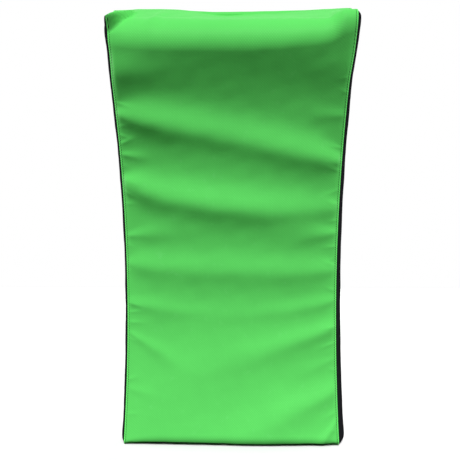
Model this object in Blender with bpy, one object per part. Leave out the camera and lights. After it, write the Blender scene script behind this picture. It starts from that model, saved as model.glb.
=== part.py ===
"""A rugby strike shield: a curved foam pad in a sewn PVC cover, with arm straps on its back.

Metres, +Z up. The striking face looks along -Y and the shield stands on its foot, at z = 0.
Left and right are as seen from in front of the striking face, so right is +X.

The pad is a thick bent slab. Every piece of it is placed by three pad coordinates:
p, the distance up the pad from the foot; q, the depth behind the striking face; and x, across.
"""

import math

import bmesh
import bpy
from mathutils import Matrix, Vector

MM = 0.001
GAP = 0.3 * MM  # air between neighbouring pieces, which touch on the real shield

# The pad's driving dimensions
THICKNESS = 120 * MM
FACE_RADIUS = 960 * MM  # the face is hollow, like the inside of a barrel
LEAN_TOP = math.radians(32)  # how far the top end leans towards the player
LEAN_FOOT = math.radians(15)  # how far the foot kicks out towards the player
WAIST_WIDTH = 402 * MM  # seam to seam, at the narrowest
WAIST_AT = 0.25  # share of the pad's height
FLARE = 50 * MM  # added width per squared share of height away from the waist

BACK_RADIUS = FACE_RADIUS + THICKNESS
BACK_LEAN_FOOT = math.asin(FACE_RADIUS * math.sin(LEAN_FOOT) / BACK_RADIUS)
LENGTH = (FACE_RADIUS + THICKNESS / 2) * (LEAN_TOP + LEAN_FOOT)
BACK_LENGTH = BACK_RADIUS * (LEAN_TOP + BACK_LEAN_FOOT)

# The four long edges of the slab are rounded
ROUND_FOOT = 12 * MM
ROUND_TOP = 36 * MM
ROUND_BACK = 12 * MM

# Cover
SKIN = 1.0 * MM  # PVC-coated polyester, felt-soft on the inside
CROWN = 9 * MM  # the middle of the face stands this far proud of its side seams
CROWN_POWER = 4
CROWN_FADE = 4  # power by which that fullness dies away round the foot and the top
TOP_SAG = 10 * MM  # the slack top end hangs this much lower at the middle of its back edge
TOP_SAG_AT = -0.08  # share of the half width
TOP_SAG_REACH = 0.42
SIDE_BULGES = {-1: (12.5 * MM, 13.5 * MM), 1: (18 * MM, 13 * MM)}  # each side's, at the foot and the top
SEAM_TUCK = 0.1 * MM
HEM_GAP = 0.6 * MM  # between the striking cover's turned edge and the back panels

# Points along the cover, shared by every layer that lies against it
FACE_STEPS = 30
COVER_COLUMNS = (-1, -0.9, -0.7, -0.45, -0.15, 0.15, 0.45, 0.7, 0.9, 1)
FOOT_STEPS = 6
TOP_STEPS = 5
SIDE_COLUMNS = 4

# Broad creases that cross the face where the cover is slack:
# (height up the left seam, height up the right seam, half width, rise), all along the pad
CREASES = (
    (669 * MM, 574 * MM, 36 * MM, 7.0 * MM),
    (508 * MM, 476 * MM, 38 * MM, 7.5 * MM),
    (366 * MM, 354 * MM, 34 * MM, 4.0 * MM),
    (290 * MM, 292 * MM, 24 * MM, 1.6 * MM),
    (150 * MM, 238 * MM, 34 * MM, 2.5 * MM),
)

# Where the cover spans the pad's hollow instead of lying in it, and its lip under the top edge:
# (height, half width, rise)
SPANS = (
    (480 * MM, 160 * MM, 7 * MM),
    (830 * MM, 80 * MM, 5 * MM),
)

# Foam layers, as depths behind the face
FOAM_SPLITS = (40 * MM, 88 * MM)
FOAM_BACK_CLEARANCE = 2.4 * MM
FOAM_SIDE_CLEARANCE = 3.2 * MM
FOAM_SIDE_SWELL = 0.9  # share of the cover's side bulge that the foam fills
FOAM_TOP_CLEARANCE = 15 * MM  # the two rear layers stop short of the sagging top end

# Zip, across the back just above the foot
ZIP_AT = 72 * MM
ZIP_WINDOW = 9 * MM  # half the gap between the two back panels
ZIP_TAPE_INNER = 3.4 * MM
ZIP_TAPE_OUTER = 17 * MM
ZIP_TAPE_THICKNESS = 0.6 * MM
ZIP_TAPE_DEPTH = 1.45 * MM
ZIP_TAPE_HALF_LENGTH = 199 * MM
TOOTH_PITCH = 6 * MM
TOOTH_TIP = 2.7 * MM
TOOTH_ROOT = 2.2 * MM
TOOTH_REACH = 1.3 * MM
TOOTH_THICKNESS = 2.6 * MM
BEAD_INNER = 1.7 * MM
BEAD_OUTER = 3.1 * MM
TEETH = 62
ZIP_GROOVE = 5.8 * MM  # the foam gives way behind the chain
ZIP_GROOVE_HALF = 20 * MM
SLIDER_AT = 179 * MM  # shut
SLIDER_LENGTH = 18 * MM
STOP_AT = 190.5 * MM

# Arm straps
STRAP_X = 85 * MM
STRAP_WIDTH = 50 * MM
WEBBING = 2.2 * MM
STRAP_LOW = 225 * MM  # where the lower tab ends and the arch starts, up the back
STRAP_HIGH = 585 * MM
STRAP_TAB = 48 * MM
STRAP_RISE = 72 * MM
PATCH = 1.2 * MM
PATCH_LENGTH = 82 * MM
PATCH_WIDTH = 76 * MM
SLEEVE_SHARE = 0.60  # of the arch's length
SLEEVE_EASE = 0.5 * MM
ARCH_SHOULDER = 0.52  # share of half a strap's span over which it rises
SLEEVE_STEPS = 14
PADDING = 9 * MM

# Carry handle, near the top
HANDLE_AT = 770 * MM
HANDLE_WIDTH = 38 * MM
HANDLE_HALF_SPAN = 88 * MM
HANDLE_TAB = 40 * MM
HANDLE_RISE = 40 * MM
GRIP_HALF_LENGTH = 46 * MM
GRIP_WALL = 4 * MM  # rolled foam and PVC
HANDLE_PATCH_LENGTH = 66 * MM
HANDLE_PATCH_WIDTH = 58 * MM

# Breather eyelets in the sides
EYELET_HEIGHTS = (("lower", 150 * MM), ("upper", 690 * MM))
EYELET_BORE = 4.5 * MM
EYELET_BARREL = 5.2 * MM
EYELET_HOLE = 5.6 * MM
EYELET_CURL = 6.6 * MM
EYELET_FLANGE = 10 * MM
EYELET_SEGMENTS = 20


def clear_scene():
    for obj in list(bpy.data.objects):
        bpy.data.objects.remove(obj, do_unlink=True)


def linear(channel):
    """One sRGB channel, 0 to 255, as linear light."""
    c = channel / 255
    return c / 12.92 if c <= 0.04045 else ((c + 0.055) / 1.055) ** 2.4


def material(name, rgb, roughness, metallic=0.0):
    mat = bpy.data.materials.new(name)
    mat.use_nodes = True
    shader = mat.node_tree.nodes["Principled BSDF"]
    shader.inputs["Base Color"].default_value = (*(linear(c) for c in rgb), 1.0)
    shader.inputs["Roughness"].default_value = roughness
    shader.inputs["Metallic"].default_value = metallic
    return mat


def link(obj, mat, parent):
    """Puts a finished object in the scene, on its parent empty."""
    bpy.context.scene.collection.objects.link(obj)
    obj.data.materials.append(mat)
    obj.parent = parent
    return obj


def mesh_object(name, points, faces, mat, parent, smooth_deg=40):
    mesh = bpy.data.meshes.new(name)
    mesh.from_pydata([tuple(p) for p in points], [], faces)
    mesh.validate()
    mesh.shade_smooth()
    mesh.set_sharp_from_angle(angle=math.radians(smooth_deg))
    return link(bpy.data.objects.new(name, mesh), mat, parent)


def solidify(obj, thickness):
    """Gives a surface its wall, on the side away from its normals."""
    wall = obj.modifiers.new("wall", "SOLIDIFY")
    wall.thickness = thickness
    wall.offset = -1
    wall.use_even_offset = True


def sheet_faces(rows, columns):
    """Quads of a grid of points, row by row."""
    return [
        (r * columns + c, r * columns + c + 1, (r + 1) * columns + c + 1, (r + 1) * columns + c)
        for r in range(rows - 1)
        for c in range(columns - 1)
    ]


def loft_faces(rings, size):
    """Quads between closed rings of points, and a cap on the first and last."""
    faces = [tuple(reversed(range(size)))]
    for r in range(rings - 1):
        for c in range(size):
            d = (c + 1) % size
            faces.append((r * size + c, r * size + d, (r + 1) * size + d, (r + 1) * size + c))
    faces.append(tuple((rings - 1) * size + c for c in range(size)))
    return faces


def loft(name, rings, mat, parent, smooth_deg=40):
    """A solid through closed rings of equally many points, turned outwards whichever way they run."""
    size = len(rings[0])
    obj = mesh_object(
        name, [p for ring in rings for p in ring], loft_faces(len(rings), size), mat, parent, smooth_deg
    )
    face_outwards(obj.data)
    return obj


def face_outwards(mesh):
    bm = bmesh.new()
    bm.from_mesh(mesh)
    bmesh.ops.recalc_face_normals(bm, faces=bm.faces)
    bm.to_mesh(mesh)
    bm.free()


def steps(low, high, count):
    """count + 1 evenly spaced values."""
    return [low + (high - low) * i / count for i in range(count + 1)]


def smooth(value):
    """A smooth rise from 0 to 1."""
    value = min(1.0, max(0.0, value))
    return value * value * (3 - 2 * value)


# The pad's shape

def pad_point(p, q, x):
    """The point at height p, depth q and distance x across, on the bent slab."""
    s = p / LENGTH
    face = -LEAN_FOOT + s * (LEAN_TOP + LEAN_FOOT)
    back = -BACK_LEAN_FOOT + s * (LEAN_TOP + BACK_LEAN_FOOT)
    share = q / THICKNESS
    y = (1 - share) * FACE_RADIUS * math.cos(face) + share * BACK_RADIUS * math.cos(back)
    z = (1 - share) * FACE_RADIUS * math.sin(face) + share * BACK_RADIUS * math.sin(back)
    foot = FACE_RADIUS * math.cos(LEAN_FOOT), FACE_RADIUS * math.sin(LEAN_FOOT)
    return Vector((x, y - foot[0], z + foot[1]))


def half_width(p):
    """Half the cover's width at height p, from the middle to a side seam."""
    share = min(1.0, max(0.0, p / LENGTH))
    return (WAIST_WIDTH + FLARE * (share - WAIST_AT) ** 2) / 2


def back_point(height, rise, x):
    """The point a distance up the back panel, and a rise outwards from it."""
    lean = height / BACK_RADIUS - BACK_LEAN_FOOT
    reach = BACK_RADIUS + rise
    foot = FACE_RADIUS * math.cos(LEAN_FOOT), FACE_RADIUS * math.sin(LEAN_FOOT)
    return Vector((x, reach * math.cos(lean) - foot[0], reach * math.sin(lean) + foot[1]))


def back_frame(height):
    """A frame on the back panel, seen from behind: X to the right, Y up the back, Z straight out."""
    lean = height / BACK_RADIUS - BACK_LEAN_FOOT
    up = Vector((0, -math.sin(lean), math.cos(lean)))
    out = Vector((0, math.cos(lean), math.sin(lean)))
    frame = Matrix((up.cross(out), up, out)).transposed().to_4x4()
    frame.translation = back_point(height, 0, 0)
    return frame


def back_height_as_p(height):
    """A height up the back as the pad coordinate p."""
    return height / BACK_LENGTH * LENGTH


def arc(centre, radius, start_deg, end_deg, count):
    """Points and outward directions round a corner of the (p, q) outline."""
    made = []
    for angle in steps(math.radians(start_deg), math.radians(end_deg), count):
        out = math.cos(angle), math.sin(angle)
        made.append((centre[0] + radius * out[0], centre[1] + radius * out[1], *out))
    return made


def foot_corner(inset, count):
    centre = ROUND_FOOT, ROUND_FOOT
    return arc(centre, ROUND_FOOT - inset, 180, 270, count)


def top_corner(inset, count):
    centre = LENGTH - ROUND_TOP, ROUND_TOP
    return arc(centre, ROUND_TOP - inset, 270, 360, count)


def back_foot_corner(inset, count):
    centre = ROUND_BACK, THICKNESS - ROUND_BACK
    return arc(centre, ROUND_BACK - inset, 90, 180, count)


def back_top_corner(inset, count):
    centre = LENGTH - ROUND_BACK, THICKNESS - ROUND_BACK
    return arc(centre, ROUND_BACK - inset, 0, 90, count)


def straight(start, end, out, count):
    """The points strictly between two corners, where the outline runs straight."""
    return [
        (start[0] + (end[0] - start[0]) * f, start[1] + (end[1] - start[1]) * f, *out)
        for f in steps(0, 1, count)[1:-1]
    ]


def face_path(inset):
    """The face's line in (p, q), from the underside of the foot to the top, set in from the outline."""
    foot, top = foot_corner(inset, FOOT_STEPS), top_corner(inset, TOP_STEPS)
    return foot + straight(foot[-1], top[0], (0, -1), FACE_STEPS) + top


def cover_path():
    """The striking cover's line in (p, q): under the foot, up the face and over the top, seam to seam."""
    back_foot, back_top = back_foot_corner(0, FOOT_STEPS), back_top_corner(0, TOP_STEPS)
    face = face_path(0)
    return (
        back_foot
        + straight(back_foot[-1], face[0], (-1, 0), 2)
        + face
        + straight(face[-1], back_top[0], (1, 0), 4)
        + back_top
    )


def crown(u):
    """The face's fullness across its width, 1 in the middle and 0 at the seams."""
    return 1 - abs(u) ** CROWN_POWER


def crease_rise(p, u):
    """How far the slack cover stands off the foam at a height and a share of the half width."""
    rise = 0.0
    for left, right, half, height in CREASES:
        ridge = left + (right - left) * (u + 1) / 2
        rise += height * math.exp(-(((p - ridge) / half) ** 2))
    for height, half, standing in SPANS:
        rise += standing * math.exp(-(((p - height) / half) ** 2))
    return rise * (1 - u * u)


def top_sag(q, u):
    """How far the top end hangs below the slab at a depth: most in the middle of its back edge."""
    return TOP_SAG * smooth(q / THICKNESS) * math.exp(-(((u - TOP_SAG_AT) / TOP_SAG_REACH) ** 2))


def swell(p, q, out_p, out_q, u):
    """How far the cover stands outside the plain slab, by which way it faces there."""
    towards_player, upwards = max(0.0, -out_q), max(0.0, out_p)
    face = CROWN * crown(u) + crease_rise(p, u)
    return towards_player**CROWN_FADE * face - upwards**2 * top_sag(q, u)


def side_swell(side, p, q_share, chord):
    """How far a side panel stands out from the seam line, least where the panel narrows to its ends."""
    foot, top = SIDE_BULGES[side]
    full = foot + (top - foot) * p / LENGTH
    return full * 4 * q_share * (1 - q_share) * min(1.0, chord / THICKNESS)


# Cover

def striking_cover(mat, parent):
    """One long green panel, from the back foot seam, under the foot, up the face and over the top."""
    path = cover_path()
    points = []
    for p, q, out_p, out_q in path:
        for u in COVER_COLUMNS:
            rise = swell(p, q, out_p, out_q, u)
            points.append(pad_point(p + out_p * rise, q + out_q * rise, u * half_width(p)))
    faces = sheet_faces(len(path), len(COVER_COLUMNS))
    obj = mesh_object("front_cover", points, faces, mat, parent, 60)
    solidify(obj, SKIN)
    return obj


def side_chains(inset):
    """Two lines in (p, q) round the pad's side, from the middle of the foot to the middle of the top."""
    ends = [(inset, THICKNESS / 2)], [(LENGTH - inset, THICKNESS / 2)]
    back_foot = back_foot_corner(inset, FOOT_STEPS)[::-1]
    back_top = back_top_corner(inset, TOP_STEPS)[::-1]
    back = back_foot + straight(back_foot[-1], back_top[0], (0, 1), FACE_STEPS) + back_top
    return ends[0] + face_path(inset) + ends[1], ends[0] + back + ends[1]


def side_point(side, p, q, share, chord):
    """The point on a side panel, a share of the way from its face seam to its back seam."""
    return pad_point(p, q, side * (half_width(p) - SEAM_TUCK + side_swell(side, p, share, chord)))


def side_panel(name, side, mat, parent):
    """A black side panel, swelling between its two long seams; side is -1 or 1."""
    face, back = side_chains(SKIN + GAP)
    points = []
    for front, rear in zip(face[1:-1], back[1:-1]):
        chord = math.hypot(rear[0] - front[0], rear[1] - front[1])
        for share in steps(0, 1, SIDE_COLUMNS):
            p = front[0] + (rear[0] - front[0]) * share
            q = front[1] + (rear[1] - front[1]) * share
            points.append(side_point(side, p, q, share, chord))
    rows = len(face) - 2
    faces = sheet_faces(rows, SIDE_COLUMNS + 1)
    foot_tip, top_tip = len(points), len(points) + 1
    points += [side_point(side, tip[0], tip[1], 0, 0) for tip in (face[0], face[-1])]
    last = (rows - 1) * (SIDE_COLUMNS + 1)
    for c in range(SIDE_COLUMNS):
        faces.append((c + 1, c, foot_tip))
        faces.append((last + c, last + c + 1, top_tip))
    if side < 0:
        faces = [face[::-1] for face in faces]
    obj = mesh_object(name, points, faces, mat, parent, 60)
    solidify(obj, SKIN)
    for where, height in EYELET_HEIGHTS:
        hole = obj.modifiers.new(f"{where}_eyelet_hole", "BOOLEAN")
        hole.operation = "DIFFERENCE"
        hole.object = eyelet_cutter(f"{name}_{where}_cutter", side, height, parent)
    return obj


def back_sheet(name, low, high, rows, mat, parent):
    """A flat-lying panel of the back, between two heights up it."""
    columns = [-1, -0.5, 0, 0.5, 1]
    points = []
    for height in steps(low, high, rows):
        wide = half_width(back_height_as_p(height))
        points += [back_point(height, 0, u * wide) for u in columns]
    faces = [tuple(reversed(face)) for face in sheet_faces(rows + 1, len(columns))]
    obj = mesh_object(name, points, faces, mat, parent, 60)
    solidify(obj, SKIN)
    return obj


# Foam

def foam_side(side, p, q):
    """Where the foam's side lies at a height and depth; side is -1 or 1."""
    swelling = FOAM_SIDE_SWELL * side_swell(side, p, q / THICKNESS, THICKNESS)
    ends = smooth(min(p, LENGTH - p) / (60 * MM))
    return side * (half_width(p) - SKIN - SEAM_TUCK - FOAM_SIDE_CLEARANCE + swelling * ends)


def foam_ring(front, p, back):
    """A cross-section of foam at height p: a line of points in front, then a straight back edge."""
    middle = (front[-1][1] + back) / 2
    ring = [pad_point(*corner) for corner in front]
    ring.append(pad_point(p, middle, foam_side(1, p, middle)))
    ring.append(pad_point(p, back, foam_side(1, p, back)))
    ring.append(pad_point(p, back, foam_side(-1, p, back)))
    ring.append(pad_point(p, middle, foam_side(-1, p, middle)))
    return ring


def plain_front(p, q):
    """A straight front edge for a foam cross-section, as (p, q, x) points."""
    return [(p, q, foam_side(-1, p, q)), (p, q, foam_side(1, p, q))]


def impact_foam(mat, parent):
    """Soft foam that takes the hit, crowned as the cover over it, with a level top below the sag."""
    rings = []
    for p, q, out_p, out_q in face_path(SKIN + 2 * GAP):
        fullness = CROWN * max(0.0, -out_q) ** CROWN_FADE
        sunk = max(0.0, out_p) ** 2 * top_sag(FOAM_SPLITS[0], TOP_SAG_AT)
        p, q = p - out_p * sunk, q - out_q * sunk
        front = [(p, q, foam_side(-1, p, q))]
        for u in COVER_COLUMNS[1:-1]:
            rise = fullness * crown(u)
            front.append((p + out_p * rise, q + out_q * rise, u * half_width(p)))
        front.append((p, q, foam_side(1, p, q)))
        rings.append(foam_ring(front, p, FOAM_SPLITS[0]))
    return loft("impact_foam", rings, mat, parent)


def core_foam(mat, parent):
    """Dense foam that spreads the hit."""
    heights = [SKIN + GAP] + steps(ROUND_FOOT, LENGTH - FOAM_TOP_CLEARANCE, FACE_STEPS)
    rings = [foam_ring(plain_front(p, FOAM_SPLITS[0] + GAP), p, FOAM_SPLITS[1]) for p in heights]
    return loft("core_foam", rings, mat, parent)


def backing_outline():
    """Height and depth of the backing foam's rear, rounded at both ends and pressed in at the zip."""
    clear = THICKNESS - FOAM_BACK_CLEARANCE
    zip_p, groove = back_height_as_p(ZIP_AT), back_height_as_p(ZIP_GROOVE_HALF)
    slope = 0.5 * MM
    round_top = ROUND_BACK - FOAM_BACK_CLEARANCE
    top_centre = LENGTH - FOAM_TOP_CLEARANCE - round_top, clear - round_top
    flat = [
        (p, clear) for p in steps(ROUND_BACK, top_centre[0], FACE_STEPS)[1:-1]
        if abs(p - zip_p) > groove + slope
    ]
    pressed = [
        (zip_p - groove - slope, clear), (zip_p - groove, THICKNESS - ZIP_GROOVE),
        (zip_p + groove, THICKNESS - ZIP_GROOVE), (zip_p + groove + slope, clear),
    ]
    foot = [corner[:2] for corner in back_foot_corner(FOAM_BACK_CLEARANCE, 3)]
    top = [corner[:2] for corner in arc(top_centre, round_top, 0, 90, 3)]
    return sorted(foot + flat + pressed + top)


def backing_foam(mat, parent):
    """A stiff sheet behind the arms' side of the pad."""
    front = FOAM_SPLITS[1] + GAP
    rings = [foam_ring(plain_front(p, front), p, q) for p, q in backing_outline()]
    return loft("backing_foam", rings, mat, parent)


# Zip, in the frame of the back panel at the zip's height

def box_ring(x, y_low, y_high, z_low, z_high):
    return [(x, y_low, z_low), (x, y_high, z_low), (x, y_high, z_high), (x, y_low, z_high)]


def zip_tape(name, side, mat, parent):
    """Half of the zip's tape, sewn under the edge of a back panel."""
    low, high = sorted((side * ZIP_TAPE_INNER, side * ZIP_TAPE_OUTER))
    rings = [
        box_ring(x, low, high, -ZIP_TAPE_DEPTH - ZIP_TAPE_THICKNESS, -ZIP_TAPE_DEPTH)
        for x in steps(-ZIP_TAPE_HALF_LENGTH, ZIP_TAPE_HALF_LENGTH, 8)
    ]
    return loft(name, rings, mat, parent)


def tooth_centres(side):
    """The two rows of teeth take turns, half a pitch apart."""
    first = -(TEETH - 1) * TOOTH_PITCH / 2 - side * TOOTH_PITCH / 4
    return [first + i * TOOTH_PITCH for i in range(TEETH)]


def zip_teeth(name, side, mat, parent):
    """One row of moulded teeth on its bead: a comb whose teeth widen towards their tips."""
    centres = tooth_centres(side)
    start, end = centres[0] - TOOTH_PITCH / 2, centres[-1] + TOOTH_PITCH / 2
    outline = [(start, side * BEAD_OUTER), (start, side * BEAD_INNER)]
    for x in centres:
        outline += [
            (x - TOOTH_ROOT / 2, side * BEAD_INNER),
            (x - TOOTH_TIP / 2, -side * TOOTH_REACH),
            (x + TOOTH_TIP / 2, -side * TOOTH_REACH),
            (x + TOOTH_ROOT / 2, side * BEAD_INNER),
        ]
    outline += [(end, side * BEAD_INNER), (end, side * BEAD_OUTER)]
    middle = -ZIP_TAPE_DEPTH - ZIP_TAPE_THICKNESS / 2
    rings = [
        [(x, y, middle + half) for x, y in outline]
        for half in (-TOOTH_THICKNESS / 2, TOOTH_THICKNESS / 2)
    ]
    return loft(name, rings, mat, parent)


def channel_ring(x, half, wall, crest, roof, lip):
    """A U-shaped section of the slider: a roof from one flange to the other, hollow side down."""
    inner = half - wall
    return [
        (x, -half, lip), (x, -half, crest - 0.5 * MM), (x, -half * 0.6, crest),
        (x, half * 0.6, crest), (x, half, crest - 0.5 * MM), (x, half, lip),
        (x, inner, lip), (x, inner, roof), (x, -inner, roof), (x, -inner, lip),
    ]


def zip_slider(mat, parent):
    """The slider's outer half: a roof with two flanges over the chain, and the bridge for the pull."""
    roof, lip, crest = -0.05 * MM, -1.25 * MM, 1.6 * MM
    ends = (
        (-1.0, 4.9 * MM, crest - 0.5 * MM), (-0.85, 5.1 * MM, crest), (0.0, 5.2 * MM, crest),
        (0.8, 6.3 * MM, crest), (1.0, 6.0 * MM, crest - 0.5 * MM),
    )
    rings = [
        channel_ring(share * SLIDER_LENGTH / 2, half, 1.4 * MM, top, roof, lip)
        for share, half, top in ends
    ]
    slider = loft("zip_slider", rings, mat, parent)
    bridge = slider_bridge(mat, parent, crest)
    joined = slider.modifiers.new("bridge", "BOOLEAN")
    joined.operation = "UNION"
    joined.object = bridge
    return slider


def slider_bridge(mat, parent, crest):
    """A flat bar arched over the slider from front to rear, which the pull hangs on."""
    half_span, height, bar, half_width_mm = 5.2 * MM, 3.3 * MM, 0.9 * MM, 1.2 * MM
    rings = []
    for angle in steps(0, math.pi, 10):
        x, z = math.cos(angle), math.sin(angle) ** 0.7
        outer = (x * (half_span + bar / 2), crest - 0.6 * MM + z * (height + bar))
        inner = (x * (half_span - bar / 2), crest - 0.6 * MM + z * height)
        rings.append([
            (outer[0], -half_width_mm, outer[1]), (outer[0], half_width_mm, outer[1]),
            (inner[0], half_width_mm, inner[1]), (inner[0], -half_width_mm, inner[1]),
        ])
    bridge = loft("slider_bridge_helper", rings, mat, parent)
    bridge.hide_render = True
    bridge.display_type = "WIRE"
    return bridge


def slider_underplate(mat, parent):
    """The slider's inner half, behind the tape."""
    floor = -ZIP_TAPE_DEPTH - ZIP_TAPE_THICKNESS / 2 - TOOTH_THICKNESS / 2 - 0.4 * MM
    lip = -ZIP_TAPE_DEPTH - ZIP_TAPE_THICKNESS - 0.2 * MM
    rings = []
    for share, half in ((-1.0, 4.9 * MM), (0.0, 5.2 * MM), (1.0, 6.0 * MM)):
        ring = channel_ring(share * SLIDER_LENGTH / 2, half, 1.4 * MM, floor - 1.5 * MM, floor, lip)
        ring[1] = (ring[1][0], -half, floor - 1.0 * MM)
        ring[4] = (ring[4][0], half, floor - 1.0 * MM)
        rings.append(ring)
    return loft("zip_slider_underplate", rings, mat, parent)


def zip_pull(mat, parent):
    """The pull tab: a round bar under the bridge, two arms and a plate with a cord slot."""
    half_bar, arm_inner, arm_outer = 0.7 * MM, 2.4 * MM, 3.8 * MM
    root, tip, half_plate, slot = 6.4 * MM, 34 * MM, 5.0 * MM, 2.2 * MM
    # The outline runs round the plate and its bar; the window behind the bar is cut by the slot helper
    outline = [
        (half_bar, -arm_outer), (half_bar, arm_outer), (-root, arm_outer), (-root - 3 * MM, half_plate),
        (-tip + 4 * MM, half_plate), (-tip + 1.2 * MM, half_plate - 1.4 * MM), (-tip, 2.2 * MM),
        (-tip, -2.2 * MM), (-tip + 1.2 * MM, -half_plate + 1.4 * MM), (-tip + 4 * MM, -half_plate),
        (-root - 3 * MM, -half_plate), (-root, -arm_outer),
    ]
    rings = [[(x, y, z) for x, y in outline] for z in (-half_bar, half_bar)]
    pull = loft("zip_pull", rings, mat, parent)
    for name, low, high, half in (
        ("window", -root, -half_bar, arm_inner),
        ("cord_slot", -tip + 3 * MM, -tip + 6 * MM, slot),
    ):
        cutter = loft(
            f"pull_{name}_helper",
            [box_ring(x, -half, half, -2 * half_bar, 2 * half_bar) for x in (low, high)],
            mat, parent,
        )
        cutter.hide_render = True
        cutter.display_type = "WIRE"
        cut = pull.modifiers.new(name, "BOOLEAN")
        cut.operation = "DIFFERENCE"
        cut.object = cutter
    return pull


def zip_stop(name, x, mat, parent):
    """A staple across the end of the chain, which the slider stops against."""
    half, top = 1.6 * MM, 0.9 * MM
    rings = [
        box_ring(x + end * half, -3.3 * MM, 3.3 * MM, -0.1 * MM, top - abs(end) * 0.3 * MM)
        for end in (-1, -0.5, 0.5, 1)
    ]
    return loft(name, rings, mat, parent)


# Straps and handle, as strips that follow a line standing off the back

def arch_rise(share, rise):
    """Height of a strap's arch; share runs from -1 to 1 between its two sewn ends."""
    return rise * smooth((1 - abs(share)) / ARCH_SHOULDER)


def strap_shares(tab, sleeve):
    """Where a strap has its cross-sections: its two tabs, its two shoulders and its sleeve."""
    shoulder = steps(-1, -sleeve, 5)
    half = steps(-1 - tab, -1, 3)[:-1] + shoulder
    return half + steps(-sleeve, sleeve, SLEEVE_STEPS)[1:-1] + [-share for share in half[::-1]]


def sleeve_shares(sleeve):
    return steps(-sleeve, sleeve, SLEEVE_STEPS)


def strap_line(share):
    """(height up the back, rise of the webbing's inner side) along an arm strap's arch."""
    height = (STRAP_LOW + STRAP_HIGH) / 2 + share * (STRAP_HIGH - STRAP_LOW) / 2
    return height, PATCH + 2 * GAP + arch_rise(share, STRAP_RISE)


def strap_section(share):
    """The strap's middle point and its two directions in its own plane, along it and outwards."""
    step = 0.002
    ahead, behind = (back_point(*strap_line(share + d), 0) for d in (step, -step))
    along = (ahead - behind).normalized()
    out = Vector((0, along.z, -along.y))
    return back_point(*strap_line(share), 0), out


def strap_ring(share, x, corners):
    """A closed ring across the strap; corners are (across, outwards) from the webbing's inner side."""
    middle, out = strap_section(share)
    return [middle + out * rise + Vector((x + across, 0, 0)) for across, rise in corners]


def rounded_box(half, low, high, corner, count=2):
    """Corners of a box with rounded edges, as (across, outwards) pairs."""
    made = []
    for sx, sz, start in ((1, -1, 270), (1, 1, 0), (-1, 1, 90), (-1, -1, 180)):
        centre = (sx * (half - corner), (high if sz > 0 else low) - sz * corner)
        for angle in steps(math.radians(start), math.radians(start + 90), count):
            made.append((centre[0] + corner * math.cos(angle), centre[1] + corner * math.sin(angle)))
    return made


def tube_faces(rings, size):
    """Quads of a tube with a wall: outer rings first, then inner rings, joined at both ends."""
    faces = []
    inner = rings * size
    for r in range(rings - 1):
        for c in range(size):
            d = (c + 1) % size
            a, b = r * size, (r + 1) * size
            faces.append((a + c, a + d, b + d, b + c))
            faces.append((inner + b + c, inner + b + d, inner + a + d, inner + a + c))
    last = (rings - 1) * size
    for c in range(size):
        d = (c + 1) % size
        faces.append((inner + c, inner + d, d, c))
        faces.append((last + c, last + d, inner + last + d, inner + last + c))
    return faces


def tube(name, outer, inner, mat, parent):
    """A sleeve with a wall, open at both ends."""
    size = len(outer[0])
    points = [p for ring in outer + inner for p in ring]
    obj = mesh_object(name, points, tube_faces(len(outer), size), mat, parent, 50)
    face_outwards(obj.data)
    return obj


def arm_strap(side_name, x, mats, parent):
    """Webbing sewn down at both ends, with a padded sleeve over the forearm's part of its arch."""
    half = STRAP_WIDTH / 2
    tab = STRAP_TAB / ((STRAP_HIGH - STRAP_LOW) / 2)
    flat = [(-half, 0), (half, 0), (half, WEBBING), (-half, WEBBING)]
    rings = [strap_ring(s, x, flat) for s in strap_shares(tab, SLEEVE_SHARE)]
    loft(f"{side_name}_arm_strap", rings, mats["webbing"], parent)

    under, over = -GAP - PADDING - SLEEVE_EASE, WEBBING + SLEEVE_EASE
    inner = rounded_box(half + SLEEVE_EASE, under, over, 0.8 * MM)
    outer = rounded_box(half + SLEEVE_EASE + SKIN, under - SKIN, over + SKIN, 2.5 * MM)
    shares = sleeve_shares(SLEEVE_SHARE)
    rings = [[strap_ring(s, x, corners) for s in shares] for corners in (outer, inner)]
    tube(f"{side_name}_arm_sleeve", *rings, mats["sleeve"], parent)

    block = rounded_box(half - 1 * MM, -GAP - PADDING, -GAP, 2 * MM, 1)
    rings = [strap_ring(s, x, block) for s in shares[1:-1]]
    loft(f"{side_name}_arm_padding", rings, mats["dense_foam"], parent)


def patch(name, height, x, length, width, mat, parent):
    """A reinforcement patch welded to the back under a sewn-down end, with cut corners."""
    corner = 9 * MM
    rows = []
    for v in steps(-length / 2, length / 2, 6):
        cut = max(0.0, corner - (length / 2 - abs(v)))
        half = width / 2 - cut
        rows.append([
            back_point(height + v, rise, x + across)
            for across, rise in ((-half, GAP), (half, GAP), (half, GAP + PATCH), (-half, GAP + PATCH))
        ])
    return loft(name, rows, mat, parent)


def handle_ring(share, corners):
    """A ring across the carry handle; share runs from -1 to 1 along its arch, on a level line."""
    step = 0.002

    def line(at):
        return Vector((at * HANDLE_HALF_SPAN, PATCH + 2 * GAP + arch_rise(at, HANDLE_RISE)))

    along = (line(share + step) - line(share - step)).normalized()
    out = Vector((-along.y, along.x))
    made = []
    for up, rise in corners:
        at = line(share) + out * rise
        made.append((at.x, up, at.y))
    return made


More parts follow.
